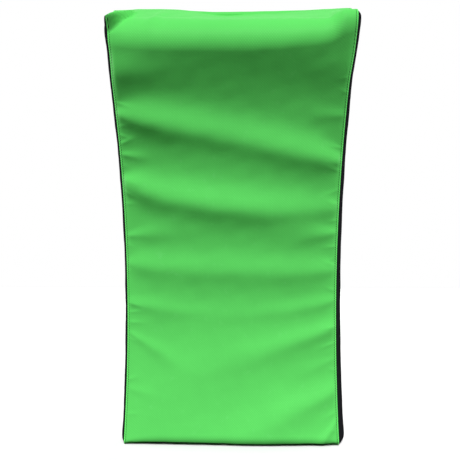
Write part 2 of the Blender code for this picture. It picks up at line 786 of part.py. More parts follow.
def carry_handle(mats, parent):
    """A level webbing handle with a grip sleeve, in the frame of the back panel near the top."""
    half = HANDLE_WIDTH / 2
    flat = [(-half, 0), (half, 0), (half, WEBBING), (-half, WEBBING)]
    reach = GRIP_HALF_LENGTH / HANDLE_HALF_SPAN
    rings = [handle_ring(s, flat) for s in strap_shares(HANDLE_TAB / HANDLE_HALF_SPAN, reach)]
    loft("carry_handle", rings, mats["webbing"], parent)
    inner = rounded_box(half + SLEEVE_EASE, -SLEEVE_EASE, WEBBING + SLEEVE_EASE, 0.8 * MM)
    swollen = GRIP_WALL + SLEEVE_EASE
    outer = rounded_box(half + swollen, -swollen, WEBBING + swollen, GRIP_WALL)
    rings = [[handle_ring(s, corners) for s in sleeve_shares(reach)] for corners in (outer, inner)]
    tube("carry_grip", *rings, mats["sleeve"], parent)


# Eyelets, turned about the middle line of a hole in a side panel

def eyelet_frame(side, height):
    """A frame on a side panel, behind its fullest line, where an eyelet's flange lies flat."""
    def surface(p, share):
        return side_point(side, p, share * THICKNESS, share, THICKNESS)

    fullest, behind = surface(height, 0.5), surface(height, 0.75)
    across = (behind - fullest).normalized()
    along = surface(height + EYELET_FLANGE, 0.625) - surface(height - EYELET_FLANGE, 0.625)
    out = (side * across.cross(along)).normalized()
    frame = Matrix((across, out.cross(across), out)).transposed().to_4x4()
    frame.translation = (fullest + behind) / 2
    return frame


def turned(name, profile, mat, parent, frame):
    """A closed (radius, height) profile turned about the frame's Z axis."""
    points = []
    for angle in steps(0, 2 * math.pi, EYELET_SEGMENTS)[:-1]:
        points += [(r * math.cos(angle), r * math.sin(angle), z) for r, z in profile]
    size = len(profile)
    faces = []
    for a in range(EYELET_SEGMENTS):
        b = (a + 1) % EYELET_SEGMENTS
        for c in range(size):
            d = (c + 1) % size
            faces.append((a * size + c, b * size + c, b * size + d, a * size + d))
    obj = mesh_object(name, points, faces, mat, parent, 35)
    face_outwards(obj.data)
    obj.matrix_local = frame
    return obj


def eyelet_cutter(name, side, height, parent):
    """The hole's cutter, a plain cylinder longer than the panel is thick."""
    mesh = bpy.data.meshes.new(name)
    bm = bmesh.new()
    bmesh.ops.create_cone(
        bm, cap_ends=True, segments=EYELET_SEGMENTS,
        radius1=EYELET_HOLE, radius2=EYELET_HOLE, depth=8 * MM,
    )
    bm.to_mesh(mesh)
    bm.free()
    cutter = bpy.data.objects.new(name, mesh)
    bpy.context.scene.collection.objects.link(cutter)
    cutter.parent = parent
    cutter.matrix_local = eyelet_frame(side, height)
    cutter.hide_render = True
    cutter.display_type = "WIRE"
    return cutter


def eyelet(name, side, height, mats, parent):
    """A plated eyelet curled over its washer, which lets air out when the pad is hit."""
    seat, top, curl, end = GAP, 1.5 * MM, -2.6 * MM, -3.1 * MM
    rolled = [
        (EYELET_BORE, curl), (EYELET_BORE + 0.5 * MM, end), (EYELET_CURL - 0.4 * MM, end),
        (EYELET_CURL, curl), (EYELET_BARREL, curl), (EYELET_BARREL, seat), (EYELET_FLANGE, seat),
        (EYELET_FLANGE, seat + 0.4 * MM), (EYELET_FLANGE - 1.6 * MM, top),
        (EYELET_BORE + 1.4 * MM, top), (EYELET_BORE, seat + 0.3 * MM),
    ]
    frame = eyelet_frame(side, height)
    turned(name, rolled, mats["plated"], parent, frame)
    bore, back, front = EYELET_BARREL + GAP, -2.3 * MM, -1.7 * MM
    washer = [(bore, back), (EYELET_FLANGE, back), (EYELET_FLANGE, front), (bore, front)]
    turned(f"{name}_washer", washer, mats["plated"], parent, frame)


def build():
    clear_scene()
    mats = {
        "green_pvc": material("green_pvc", (88, 218, 92), 0.45),
        "black_pvc": material("black_pvc", (22, 22, 23), 0.5),
        "webbing": material("webbing", (26, 26, 28), 0.85),
        "sleeve": material("sleeve", (30, 30, 32), 0.5),
        "soft_foam": material("soft_foam", (226, 219, 190), 0.95),
        "dense_foam": material("dense_foam", (120, 128, 140), 0.95),
        "stiff_foam": material("stiff_foam", (58, 60, 64), 0.9),
        "zip_tape": material("zip_tape", (20, 20, 22), 0.9),
        "zip_plastic": material("zip_plastic", (34, 34, 36), 0.4),
        "plated": material("plated", (196, 196, 190), 0.25, 1.0),
    }
    pad = bpy.data.objects.new("pad_frame", None)
    bpy.context.scene.collection.objects.link(pad)

    striking_cover(mats["green_pvc"], pad)
    side_panel("left_gusset", -1, mats["black_pvc"], pad)
    side_panel("right_gusset", 1, mats["black_pvc"], pad)
    seam = ROUND_BACK / LENGTH * BACK_LENGTH + HEM_GAP
    back_sheet("foot_panel", seam, ZIP_AT - ZIP_WINDOW, 2, mats["black_pvc"], pad)
    back_sheet("back_panel", ZIP_AT + ZIP_WINDOW, BACK_LENGTH - seam, 22, mats["black_pvc"], pad)
    impact_foam(mats["soft_foam"], pad)
    core_foam(mats["dense_foam"], pad)
    backing_foam(mats["stiff_foam"], pad)

    chain = bpy.data.objects.new("zip_frame", None)
    bpy.context.scene.collection.objects.link(chain)
    chain.parent = pad
    chain.matrix_local = back_frame(ZIP_AT)
    for label, side in (("upper", 1), ("lower", -1)):
        zip_tape(f"zip_tape_{label}", side, mats["zip_tape"], chain)
        zip_teeth(f"zip_teeth_{label}", side, mats["zip_plastic"], chain)
    zip_stop("zip_stop_left", STOP_AT, mats["plated"], chain)
    zip_stop("zip_stop_right", -STOP_AT, mats["plated"], chain)

    slider = bpy.data.objects.new("slider_frame", None)
    bpy.context.scene.collection.objects.link(slider)
    slider.parent = chain
    slider.location = (SLIDER_AT, 0, 0)
    zip_slider(mats["plated"], slider)
    slider_underplate(mats["plated"], slider)
    hinge = bpy.data.objects.new("pull_hinge", None)
    bpy.context.scene.collection.objects.link(hinge)
    hinge.parent = slider
    hinge.location = (0, 0, 2.85 * MM)
    zip_pull(mats["plated"], hinge)

    for side_name, side in (("left", -1), ("right", 1)):
        arm_strap(side_name, side * STRAP_X, mats, pad)
        for where, height in (("lower", STRAP_LOW - STRAP_TAB / 2), ("upper", STRAP_HIGH + STRAP_TAB / 2)):
            patch(
                f"{side_name}_{where}_patch", height, side * STRAP_X,
                PATCH_LENGTH, PATCH_WIDTH, mats["black_pvc"], pad,
            )
        middle = side * (HANDLE_HALF_SPAN + HANDLE_TAB / 2)
        patch(
            f"handle_{side_name}_patch", HANDLE_AT, middle,
            HANDLE_PATCH_WIDTH, HANDLE_PATCH_LENGTH, mats["black_pvc"], pad,
        )
        for where, height in EYELET_HEIGHTS:
            eyelet(f"{side_name}_{where}_eyelet", side, height, mats, pad)

    handle = bpy.data.objects.new("handle_frame", None)
    bpy.context.scene.collection.objects.link(handle)
    handle.parent = pad
    handle.matrix_local = back_frame(HANDLE_AT)
    carry_handle(mats, handle)
    centre_in_depth(pad)


def centre_in_depth(root):
    """Moves the whole shield along Y until its box is centred on the origin."""
    bpy.context.view_layer.update()
    graph = bpy.context.evaluated_depsgraph_get()
    depths = [
        (obj.matrix_world @ Vector(corner)).y
        for obj in bpy.data.objects
        if obj.type == "MESH" and not obj.hide_render
        for corner in obj.evaluated_get(graph).bound_box
    ]
    root.location.y = -(min(depths) + max(depths)) / 2


build()
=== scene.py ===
# %% [markdown]
# A strike shield is a thick bent slab of foam in a sewn cover. Players drive into its green face, and a
# coach holds it by two arm straps on its back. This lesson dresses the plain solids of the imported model:
# each piece is worked out as a surface of two parameters, laid over the solid that it stands for.

# %% Load the frame
import math

import bmesh
import bpy
import numpy as np
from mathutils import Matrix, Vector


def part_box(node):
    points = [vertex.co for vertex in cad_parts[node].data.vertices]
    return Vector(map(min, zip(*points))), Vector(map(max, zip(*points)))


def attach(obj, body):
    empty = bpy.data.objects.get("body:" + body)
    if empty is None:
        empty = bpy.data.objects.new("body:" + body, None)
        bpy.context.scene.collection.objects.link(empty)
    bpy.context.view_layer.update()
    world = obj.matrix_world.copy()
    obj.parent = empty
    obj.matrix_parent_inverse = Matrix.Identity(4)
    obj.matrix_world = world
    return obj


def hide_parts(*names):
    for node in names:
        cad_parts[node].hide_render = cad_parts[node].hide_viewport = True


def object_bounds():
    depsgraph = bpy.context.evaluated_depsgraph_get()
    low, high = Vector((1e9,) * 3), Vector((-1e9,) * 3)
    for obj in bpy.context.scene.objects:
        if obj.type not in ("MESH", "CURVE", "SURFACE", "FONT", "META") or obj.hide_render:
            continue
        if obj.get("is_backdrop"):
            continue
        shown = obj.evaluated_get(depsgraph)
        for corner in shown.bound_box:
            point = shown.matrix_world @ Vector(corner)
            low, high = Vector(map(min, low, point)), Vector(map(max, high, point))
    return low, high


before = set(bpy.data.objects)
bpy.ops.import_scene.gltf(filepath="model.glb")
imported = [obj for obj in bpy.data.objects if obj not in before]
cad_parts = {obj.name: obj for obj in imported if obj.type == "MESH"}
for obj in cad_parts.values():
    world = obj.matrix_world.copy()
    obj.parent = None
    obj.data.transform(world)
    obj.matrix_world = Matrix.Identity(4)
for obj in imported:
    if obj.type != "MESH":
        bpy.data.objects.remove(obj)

CAD_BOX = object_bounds()
MM = 0.001

# %% [markdown]
# The whole shield is measured along its own bend: p runs up the pad from the foot, q is the depth behind
# the striking face, and x runs across. u is x as a share of half the width, so both side seams lie at
# u = -1 and u = 1 whatever the width. One function turns these into the frame's metres.

# %% The pad's coordinates
THICKNESS = 120 * MM
FACE_RADIUS = 960 * MM
LEAN_TOP = math.radians(32)
LEAN_FOOT = math.radians(15)
WAIST_WIDTH = 402 * MM
WAIST_AT = 0.25
FLARE = 50 * MM
BACK_RADIUS = FACE_RADIUS + THICKNESS
BACK_LEAN_FOOT = math.asin(FACE_RADIUS * math.sin(LEAN_FOOT) / BACK_RADIUS)
LENGTH = (FACE_RADIUS + THICKNESS / 2) * (LEAN_TOP + LEAN_FOOT)
BACK_LENGTH = BACK_RADIUS * (LEAN_TOP + BACK_LEAN_FOOT)
ROUND_BACK = 12 * MM
SKIN = 1.0 * MM
GAP = 0.3 * MM
HEM_GAP = 0.6 * MM
ZIP_AT = 72 * MM
ZIP_WINDOW = 9 * MM
SHIFT = 0.0


def smooth(value):
    """A smooth rise from 0 to 1: three times the square less twice the cube."""
    value = np.clip(value, 0, 1)
    return value * value * (3 - 2 * value)


def bell(offset, width):
    """A bell curve: e to minus the square of the offset over the width."""
    return np.exp(-((offset / width) ** 2))


def joined(*values):
    """Coordinates of any shapes, spread to one shape and joined into points."""
    return np.stack(np.broadcast_arrays(*values), -1)


def unit(vector):
    """A vector over its length."""
    return vector / np.linalg.norm(vector, axis=-1, keepdims=True)


def from_centre(x, y, z):
    """A point measured from the centre of the pad's bend, in the frame's metres."""
    y = y - FACE_RADIUS * math.cos(LEAN_FOOT) + SHIFT
    return joined(x, y, z + FACE_RADIUS * math.sin(LEAN_FOOT))


def back_point(height, rise, x):
    """A circle arc of the back's radius: a distance up it, a rise out of it, and x across."""
    lean, reach = height / BACK_RADIUS - BACK_LEAN_FOOT, BACK_RADIUS + rise
    return from_centre(x, reach * np.cos(lean), reach * np.sin(lean))


def pad_point(p, q, x):
    """A blend, by depth, of the point on the face's arc and the point on the back's arc."""
    s, share = p / LENGTH, q / THICKNESS
    face = -LEAN_FOOT + s * (LEAN_TOP + LEAN_FOOT)
    back = -BACK_LEAN_FOOT + s * (LEAN_TOP + BACK_LEAN_FOOT)
    y = (1 - share) * FACE_RADIUS * np.cos(face) + share * BACK_RADIUS * np.cos(back)
    z = (1 - share) * FACE_RADIUS * np.sin(face) + share * BACK_RADIUS * np.sin(back)
    return from_centre(x, y, z)


def half_width(p):
    """A parabola of the height, least at the waist."""
    return (WAIST_WIDTH + FLARE * (np.clip(p / LENGTH, 0, 1) - WAIST_AT) ** 2) / 2


# The frame is centred on the solids' box, so the foot panel's top edge tells how far it moved in depth
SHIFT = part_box("foot_panel")[1].y - float(back_point(ZIP_AT - ZIP_WINDOW, 0, 0)[1])
print("pad length", round(LENGTH, 4), "shift in depth", round(SHIFT, 6))

# %% [markdown]
# Every piece is a grid of points. Neighbouring points make quads, a ring closes the grid on itself, and
# caps close its ends. Writing this once keeps each piece's own cell down to its formula.

# %% Grids to meshes
SQUARE = ((-1, -1), (1, -1), (1, 1), (-1, 1))


def grid_quads(rows, columns, ring=False, loop=False):
    """Corner numbers of the quads between neighbours; a ring joins the columns' ends, a loop the rows'."""
    index = np.arange(rows * columns).reshape(rows, columns)
    if ring:
        index = np.hstack([index, index[:, :1]])
    if loop:
        index = np.vstack([index, index[:1]])
    return np.stack([index[:-1, :-1], index[:-1, 1:], index[1:, 1:], index[1:, :-1]], -1).reshape(-1, 4)


def signed_volume(mesh):
    """The sum over triangles of a dot (b cross c), over six: positive if the faces point out."""
    mesh.calc_loop_triangles()
    corners = np.empty(len(mesh.loop_triangles) * 3, np.int32)
    mesh.loop_triangles.foreach_get("vertices", corners)
    points = np.empty(len(mesh.vertices) * 3)
    mesh.vertices.foreach_get("co", points)
    a, b, c = points.reshape(-1, 3)[corners.reshape(-1, 3)].transpose(1, 0, 2)
    return float(np.einsum("ij,ij->i", a, np.cross(b, c)).sum() / 6)


def shaded(mesh, flip, sharp):
    """Turns the faces over where asked, and shades smoothly across edges flatter than an angle."""
    if flip:
        mesh.flip_normals()
    mesh.shade_smooth()
    mesh.set_sharp_from_angle(angle=math.radians(sharp))
    return mesh


def grid_mesh(name, points, *maps, ring=False, caps=False, loop=False, flip=False, sharp=60):
    """A mesh of a grid of points, and of its maps.

    The first map is in metres along the cloth and has one more column on a ring. The second gives each
    point's distance from the seam and along it.
    """
    rows, columns = points.shape[:2]
    faces = grid_quads(rows, columns, ring, loop).tolist()
    if caps:
        faces.append(list(range(columns))[::-1])
        faces.append(list(range((rows - 1) * columns, rows * columns)))
    mesh = bpy.data.meshes.new(name)
    mesh.from_pydata(points.reshape(-1, 3), [], faces)
    for label, uv in zip(("cloth", "seam"), maps):
        if loop:
            uv = np.vstack([uv, uv[-1:] + uv[-1:] - uv[-2:-1]])
        corners = uv.reshape(-1, 2)[grid_quads(*uv.shape[:2]).ravel()]
        if caps:
            corners = np.concatenate([corners, uv[0, :columns][::-1], uv[-1, :columns]])
        mesh.uv_layers.new(name=label).data.foreach_set("uv", corners.ravel())
    closed = ring and (caps or loop)
    return shaded(mesh, flip or (closed and signed_volume(mesh) < 0), sharp)


def new_object(name, data):
    """An object that holds a mesh, a lamp or a camera, put in the scene."""
    obj = bpy.data.objects.new(name, data)
    bpy.context.scene.collection.objects.link(obj)
    return obj


def place(mesh, finish, slot, *nodes, body="shield"):
    """Puts a mesh in the scene with its finish, on its body, in the place of the solids it stands for."""
    obj = new_object(mesh.name, mesh)
    mesh.materials.append(finish)
    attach(obj, body)
    if nodes:
        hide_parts(*nodes)
    return obj


def settle(thing, **settings):
    """Sets the named fields of a thing and gives it back."""
    for field, value in settings.items():
        setattr(thing, field, value)
    return thing


def give_wall(obj):
    """Thickens a sheet to the cover's skin, on the side that its faces point away from."""
    settle(obj.modifiers.new("wall", "SOLIDIFY"), thickness=SKIN, offset=-1)
    return obj


print("ways to close a grid: ring, loop and caps")

# %% [markdown]
# A finish starts from what the real material is. One function turns a hex colour to linear light, and
# one adds a node with its settings and links. The short ones after it each add one kind of node and give
# back its output, so that a finish reads as a formula.

# %% Colours and nodes
# A Mix node has sockets for numbers, vectors and colours; these are its two colours and its result
MIX_A, MIX_B, MIX_RESULT = 6, 7, 2


def linear(hex_colour):
    """An sRGB hex colour as linear red, green, blue and 1."""
    channels = np.array([int(hex_colour[i:i + 2], 16) for i in (1, 3, 5)]) / 255
    light = np.where(channels <= 0.04045, channels / 12.92, ((channels + 0.055) / 1.055) ** 2.4)
    return (*light.tolist(), 1.0)


def feed(node, sockets):
    """Gives each named input of a node a value or another node's output."""
    for socket, value in dict(sockets).items():
        if isinstance(value, bpy.types.NodeSocket):
            node.id_data.links.new(value, node.inputs[socket])
        else:
            node.inputs[socket].default_value = value
    return node


def add(tree, kind, sockets=(), **settings):
    """Adds a shader node; sockets maps an input to a value or to another node's output."""
    return feed(settle(tree.nodes.new("ShaderNode" + kind), **settings), sockets)


def new_finish(name):
    """An empty material: its node tree and its shader."""
    finish = bpy.data.materials.new(name)
    finish.use_nodes = True
    return finish, finish.node_tree, finish.node_tree.nodes["Principled BSDF"]


def maths(tree, operation, *values):
    """An operation on numbers."""
    return add(tree, "Math", enumerate(values), operation=operation).outputs["Value"]


def ranged(tree, value, low, high, start=0.0, end=1.0):
    """A value's way from start to end, turned into the way from low to high."""
    sockets = {"Value": value, "From Min": start, "From Max": end, "To Min": low, "To Max": high}
    return add(tree, "MapRange", sockets).outputs["Result"]


def noise(tree, where, scale, detail):
    """Clouds of a scale per metre, with some octaves of detail."""
    return add(tree, "TexNoise", {"Vector": where, "Scale": scale, "Detail": detail}).outputs["Fac"]


def waves(tree, where, pitch, direction, distortion):
    """Waves one pitch apart: Blender's repeat every 2 pi over 20 units at scale 1."""
    sockets = {"Vector": where, "Scale": math.tau / 20 / pitch, "Distortion": distortion}
    return add(tree, "TexWave", sockets, bands_direction=direction).outputs["Fac"]


def crossed(tree, where, pitch, other_pitch, distortion):
    """The product of the waves across and the waves along."""
    across = waves(tree, where, pitch, "X", distortion)
    return maths(tree, "MULTIPLY", across, waves(tree, where, other_pitch, "Y", distortion))


def blend(tree, share, first, second):
    """The first colour mixed with a share of the second."""
    sockets = {0: share, MIX_A: first, MIX_B: second}
    return add(tree, "Mix", sockets, data_type="RGBA").outputs[MIX_RESULT]


def tinted(tree, colour, factor):
    """A colour times a factor."""
    return add(tree, "VectorMath", {0: colour, "Scale": factor}, operation="SCALE").outputs["Vector"]


def bumped(tree, height, distance, **more):
    """The surface's direction as if it rose by the height times a distance."""
    return add(tree, "Bump", {"Height": height, "Distance": distance, **more}).outputs["Normal"]


print("white is", linear("#FFFFFF"))

# %% [markdown]
# The cover is polyester cloth coated with PVC. It was knife-coated and pressed, so it is smooth and
# satin, and the cloth's threads show through as a faint diagonal grain. The real threads are about
# 1 mm apart, finer than a pixel here, so they are drawn 3.2 mm apart to show at all. Along a seam the
# needle leaves a row of holes, painted darker as their shade, and between two holes the pulled cloth
# catches the light, painted lighter as a highlight.

# %% PVC-coated cloth
GRAIN_PITCH = 3.2 * MM
GRAIN_DEPTH = 0.05 * MM
CRINKLE_DEPTH = 0.5 * MM
SEAM_PITCH = 4.6 * MM
HOLES_FROM_SEAM = 3.0 * MM
HOLE_ROW_HALF = 0.9 * MM


def painted_seam_light(tree):
    """Painted shade at the needle holes, and a painted highlight on the rim of cloth outside them, between
    two holes.
    """
    seam = add(tree, "UVMap", uv_map="seam").outputs["UV"]
    away = add(tree, "SeparateXYZ", {"Vector": seam}).outputs["X"]
    stitches = waves(tree, seam, SEAM_PITCH, "Y", 0.3)
    in_row = maths(tree, "COMPARE", away, HOLES_FROM_SEAM, HOLE_ROW_HALF)
    on_rim = maths(tree, "LESS_THAN", away, HOLES_FROM_SEAM - HOLE_ROW_HALF)
    # The needle holes are painted darker as shade, and the rim between two holes is painted lighter as a
    # highlight
    darker = ranged(tree, maths(tree, "MULTIPLY", in_row, stitches), 1.0, 0.15)
    lighter = ranged(tree, maths(tree, "MULTIPLY", on_rim, stitches), 0.9, 1.45)
    return maths(tree, "MULTIPLY", darker, lighter)


def coated_cloth(name, hex_colour, worn_hex, gloss, roughness, sewn=False):
    """Colour that drifts a little, scuffs, a crossed grain, soft crinkles and, if sewn, a seam's painted
    shade and highlight.
    """
    finish, tree, shader = new_finish(name)
    where = add(tree, "TexCoord").outputs
    scuff = noise(tree, where["Object"], 70, 6)
    worn = ranged(tree, scuff, 0.0, 0.35, start=0.62, end=0.80)
    drift = ranged(tree, noise(tree, where["Object"], 9, 4), 0.965, 1.03, start=0.3, end=0.7)

    turned_45 = add(tree, "Mapping", {"Vector": where["UV"], "Rotation": (0, 0, math.radians(45))})
    grain = crossed(tree, turned_45.outputs["Vector"], GRAIN_PITCH, GRAIN_PITCH, 0.4)
    shade = maths(tree, "MULTIPLY", drift, ranged(tree, grain, 0.94, 1.10))
    # A sewn cloth's colour also takes the seam's painted shade at the holes and painted highlight between
    # them
    if sewn:
        shade = maths(tree, "MULTIPLY", shade, painted_seam_light(tree))
    crinkles = bumped(tree, noise(tree, where["Object"], 38, 3), CRINKLE_DEPTH, Strength=0.6)
    feed(shader, {
        "Base Color": tinted(tree, blend(tree, worn, linear(hex_colour), linear(worn_hex)), shade),
        "Normal": bumped(tree, grain, GRAIN_DEPTH, Normal=crinkles),
        "Roughness": ranged(tree, scuff, roughness - 0.06, roughness + 0.08),
        "Specular IOR Level": gloss,
    })
    return finish


GREEN_PVC = coated_cloth("green_pvc_coated_polyester", "#61DA65", "#71E278", 0.02, 0.42, sewn=True)
SIDE_PVC = coated_cloth("matt_black_pvc_coated_polyester", "#202023", "#2B2B2E", 0.0, 0.55)
BACK_PVC = coated_cloth("satin_black_pvc_coated_polyester", "#232326", "#303034", 0.14, 0.5)
SLEEVE_PVC = coated_cloth("soft_black_sleeve_pvc", "#1E1E20", "#29292C", 0.22, 0.52)
print("coated cloths:", GREEN_PVC.name, SIDE_PVC.name, BACK_PVC.name, SLEEVE_PVC.name)

# %% [markdown]
# Webbing is woven polypropylene: a tight twill whose ribs cross the strap, dull, and lighter on their
# crowns than between them. Its ribs are about 1.2 mm apart on the real strap and are drawn 2 mm apart.
# The foams are foamed plastics with open cells, which look matt and pitted, with painted shade darker in
# their pores. Thread is twisted polyester.

# %% Webbing, foam and thread
RIB_PITCH = 2.0 * MM
RIB_DEPTH = 0.25 * MM
CELL_DEPTH = 0.6 * MM


def woven_webbing(name, hex_colour, lighter_crown_hex, pitch, depth):
    """Ribs along and across the cloth's own map, lighter on their crowns."""
    finish, tree, shader = new_finish(name)
    weave = crossed(tree, add(tree, "TexCoord").outputs["UV"], pitch, 1.5 * pitch, 0.6)
    feed(shader, {
        "Base Color": blend(tree, weave, linear(hex_colour), linear(lighter_crown_hex)),
        "Normal": bumped(tree, weave, depth), "Roughness": 0.85, "Specular IOR Level": 0.2,
    })
    return finish


def open_cell_foam(name, hex_colour, pore_shade_hex, cells_per_metre):
    """Pitted cells of a size, with painted shade making them darker in their pores."""
    finish, tree, shader = new_finish(name)
    where = add(tree, "TexCoord").outputs["Object"]
    cells = add(tree, "TexVoronoi", {"Vector": where, "Scale": cells_per_metre}).outputs["Distance"]
    feed(shader, {
        # The pores' darker colour is painted shade
        "Base Color": blend(tree, cells, linear(pore_shade_hex), linear(hex_colour)),
        "Normal": bumped(tree, cells, CELL_DEPTH), "Roughness": 0.95, "Specular IOR Level": 0.1,
    })
    return finish


WEBBING_FINISH = woven_webbing("woven_polypropylene_webbing", "#18181A", "#2C2C2F", RIB_PITCH, RIB_DEPTH)
TAPE_FINISH = woven_webbing("knitted_polyester_zip_tape", "#131315", "#232326", 1.4 * MM, 0.12 * MM)
THREAD_FINISH = woven_webbing("bonded_polyester_thread", "#1A1A1C", "#2E2E31", 0.8 * MM, 0.08 * MM)
SOFT_FOAM = open_cell_foam("soft_polyurethane_foam", "#E2DBBE", "#B9B08E", 420)
DENSE_FOAM = open_cell_foam("dense_polyethylene_foam", "#78808C", "#565D67", 520)
STIFF_FOAM = open_cell_foam("stiff_crosslinked_foam", "#3A3C40", "#26282B", 600)
print("woven finishes and foams made")

# %% [markdown]
# The zip's teeth are injection-moulded acetal, faintly mottled and semi-gloss. Its slider and the
# eyelets are nickel-plated: a metal with fine rubbing marks, so its roughness varies and its colour
# barely does. A metal keeps Blender's default IOR.

# %% Moulded plastic and plated metal


def fine_grained(name, hex_colour, scale, detail, shades, depth, roughness, metallic=0.0):
    """One fine noise that shades the colour, lifts the surface and roughens it, between two limits each."""
    finish, tree, shader = new_finish(name)
    marks = noise(tree, add(tree, "TexCoord").outputs["Object"], scale, detail)
    feed(shader, {
        "Base Color": tinted(tree, linear(hex_colour)[:3], ranged(tree, marks, *shades)),
        "Normal": bumped(tree, marks, depth), "Roughness": ranged(tree, marks, *roughness),
        "Metallic": metallic,
    })
    return finish


ACETAL = fine_grained("injection_moulded_acetal", "#222224", 900, 3, (0.8, 1.25), 0.03 * MM, (0.38, 0.38))
NICKEL = fine_grained("nickel_plated_zinc", "#C4C4BE", 1400, 5, (0.9, 1.05), 0.01 * MM, (0.16, 0.42), 1.0)
print("hard finishes:", ACETAL.name, NICKEL.name)

# %% [markdown]
# The camera stands where the photograph was taken, level and turned a little to the left. It comes first,
# because every later cell is judged through it. A soft key light high in front draws the folds. One behind
# and two at the sides make the black pieces readable. They stand low, so that the top end, which rises
# towards the back, shades itself from them. The floor and the world look white to the camera, to gloss and
# through glass, and give almost no light.

# %% Camera, light and floor
FOCAL_PIXELS = 612
IMAGE_PIXELS = 460
SENSOR = 36.0
CAMERA_AT = (0.025, -1.2076, 0.406)
CAMERA_TURN = math.radians(1.34)
AMBIENT = 0.02
FLOOR_HALF = 3.0
FLOOR_BOUNCE = 0.005

# Each sun's turn from the front towards the right, its height and the width of its disc in degrees, and its
# strength over pi
SUNS = {
    "key_light": (0, 45.5, 25, 1.35),
    "back_light": (168, 8, 20, 1.2),
    "right_fill": (105, 5, 25, 0.65),
    "left_fill": (-105, 5, 25, 0.65),
}


def seen_directly(tree):
    """1 for a ray from the camera, off a gloss or through glass, and 0 for light that spreads."""
    path = add(tree, "LightPath").outputs
    either = maths(tree, "MAXIMUM", path["Is Camera Ray"], path["Is Glossy Ray"])
    return maths(tree, "MAXIMUM", either, path["Is Transmission Ray"])


scene = bpy.context.scene
scene.view_settings.view_transform = "Standard"
lens = settle(bpy.data.cameras.new("camera"), sensor_width=SENSOR, lens=FOCAL_PIXELS / IMAGE_PIXELS * SENSOR)
scene.camera = new_object("camera", lens)
settle(scene.camera, location=CAMERA_AT, rotation_euler=(math.pi / 2, 0, CAMERA_TURN))
for name, (turn, height, disc, strength) in SUNS.items():
    sun = settle(bpy.data.lights.new(name, "SUN"), energy=strength * math.pi, angle=math.radians(disc))
    settle(new_object(name, sun), rotation_euler=(math.radians(90 - height), 0, math.radians(turn)))

scene.world = bpy.data.worlds.new("studio")
scene.world.use_nodes = True
tree = scene.world.node_tree
brightness = ranged(tree, seen_directly(tree), AMBIENT, 1.0)
feed(tree.nodes["Background"], {"Strength": brightness, "Color": (1, 1, 1, 1)})

paper, tree, shader = new_finish("white_studio_paper")
dim = (FLOOR_BOUNCE,) * 3 + (1.0,)
feed(shader, {"Base Color": blend(tree, seen_directly(tree), dim, linear("#F7F7F7")), "Roughness": 0.9})
floor_mesh = bpy.data.meshes.new("floor")
floor_mesh.from_pydata([(x * FLOOR_HALF, y * FLOOR_HALF, 0) for x, y in SQUARE], [], [(0, 1, 2, 3)])
floor_mesh.materials.append(paper)
floor = new_object("floor", floor_mesh)
floor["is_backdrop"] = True
print("lens", round(lens.lens, 2), "mm, lights", len(SUNS))

# %% [markdown]
# The striking cover is one long panel, from the back seam under the foot, up the face and over the top.
# The pad is hollow and the cloth is flat, so the slack stands up as folds that run from seam to seam.
# A fold is a ridge, and its steepness, not its height, is what the eye sees as light and shade. So each
# fold here is given by where it runs, how wide it is and how steep, and its height follows from these.

# %% Folds that cross the face
CROWN = 9 * MM
CROWN_POWER = 4
CROWN_FADE = 1.5
STEEPEST = 0.858  # the steepest slope of a bell curve of width and height 1

# Each fold's height on the pad, half width in mm and steepness, at the left seam, the middle, the right
FOLDS = (
    ((669, 624, 574), (9, 36, 10), (0.40, 0.29, 0.36)),
    ((528, 487, 482), (12, 36, 9), (0.34, 0.37, 0.22)),
    ((366, 354, 354), (8, 32, 9), (0.20, 0.20, 0.24)),
    ((290, 264, 292), (7, 20, 8), (0.18, 0.05, 0.20)),
)

# Where the cloth spans the pad's hollow, and its lip under the top edge: height, half width and rise, mm
SPANS = ((480, 160, 7), (830, 105, 11.5))


def ridge(offset, width):
    """A bell curve above its line, and a curve with a longer tail below it."""
    return np.where(offset > 0, bell(offset, width), 1 / (1 + (offset / width) ** 2))


def by_side(share, u, left, middle, right):
    """The middle's value, moved by a share of the way to the left seam's or the right seam's."""
    return middle + np.where(u < 0, left - middle, right - middle) * share


def bowed(u, left, middle, right):
    """The parabola through three heights, at the left seam, the middle and the right seam."""
    return middle + (right - left) / 2 * u + ((left + right) / 2 - middle) * u * u


def cross_folds(p, u):
    """The sum of the ridges, each narrowing to its seam width by the sixth power of u, and the spans."""
    rise = 0.0
    for heights, widths, steepness in FOLDS:
        width = by_side(np.abs(u) ** 6, u, *(value * MM for value in widths))
        line = bowed(u, *(value * MM for value in heights))
        steep = by_side(smooth(np.abs(u)), u, *steepness)
        rise = rise + steep * width / STEEPEST * ridge(p - line, width)
    for height, half, standing in SPANS:
        rise = rise + standing * MM * bell(p - height * MM, half * MM) * (1 - u**6)
    return rise


print("folds across the face:", len(FOLDS))

# %% [markdown]
# Other folds start at a side seam, where the thread gathers the cloth, and fade before the middle. They
# are darts: a ridge that widens and dies away with its distance from the seam. The larger ones are
# placed one by one as the photograph shows them. The small puckers stand where it shows them too, and
# only their reach and slope vary at random, from a fixed seed.

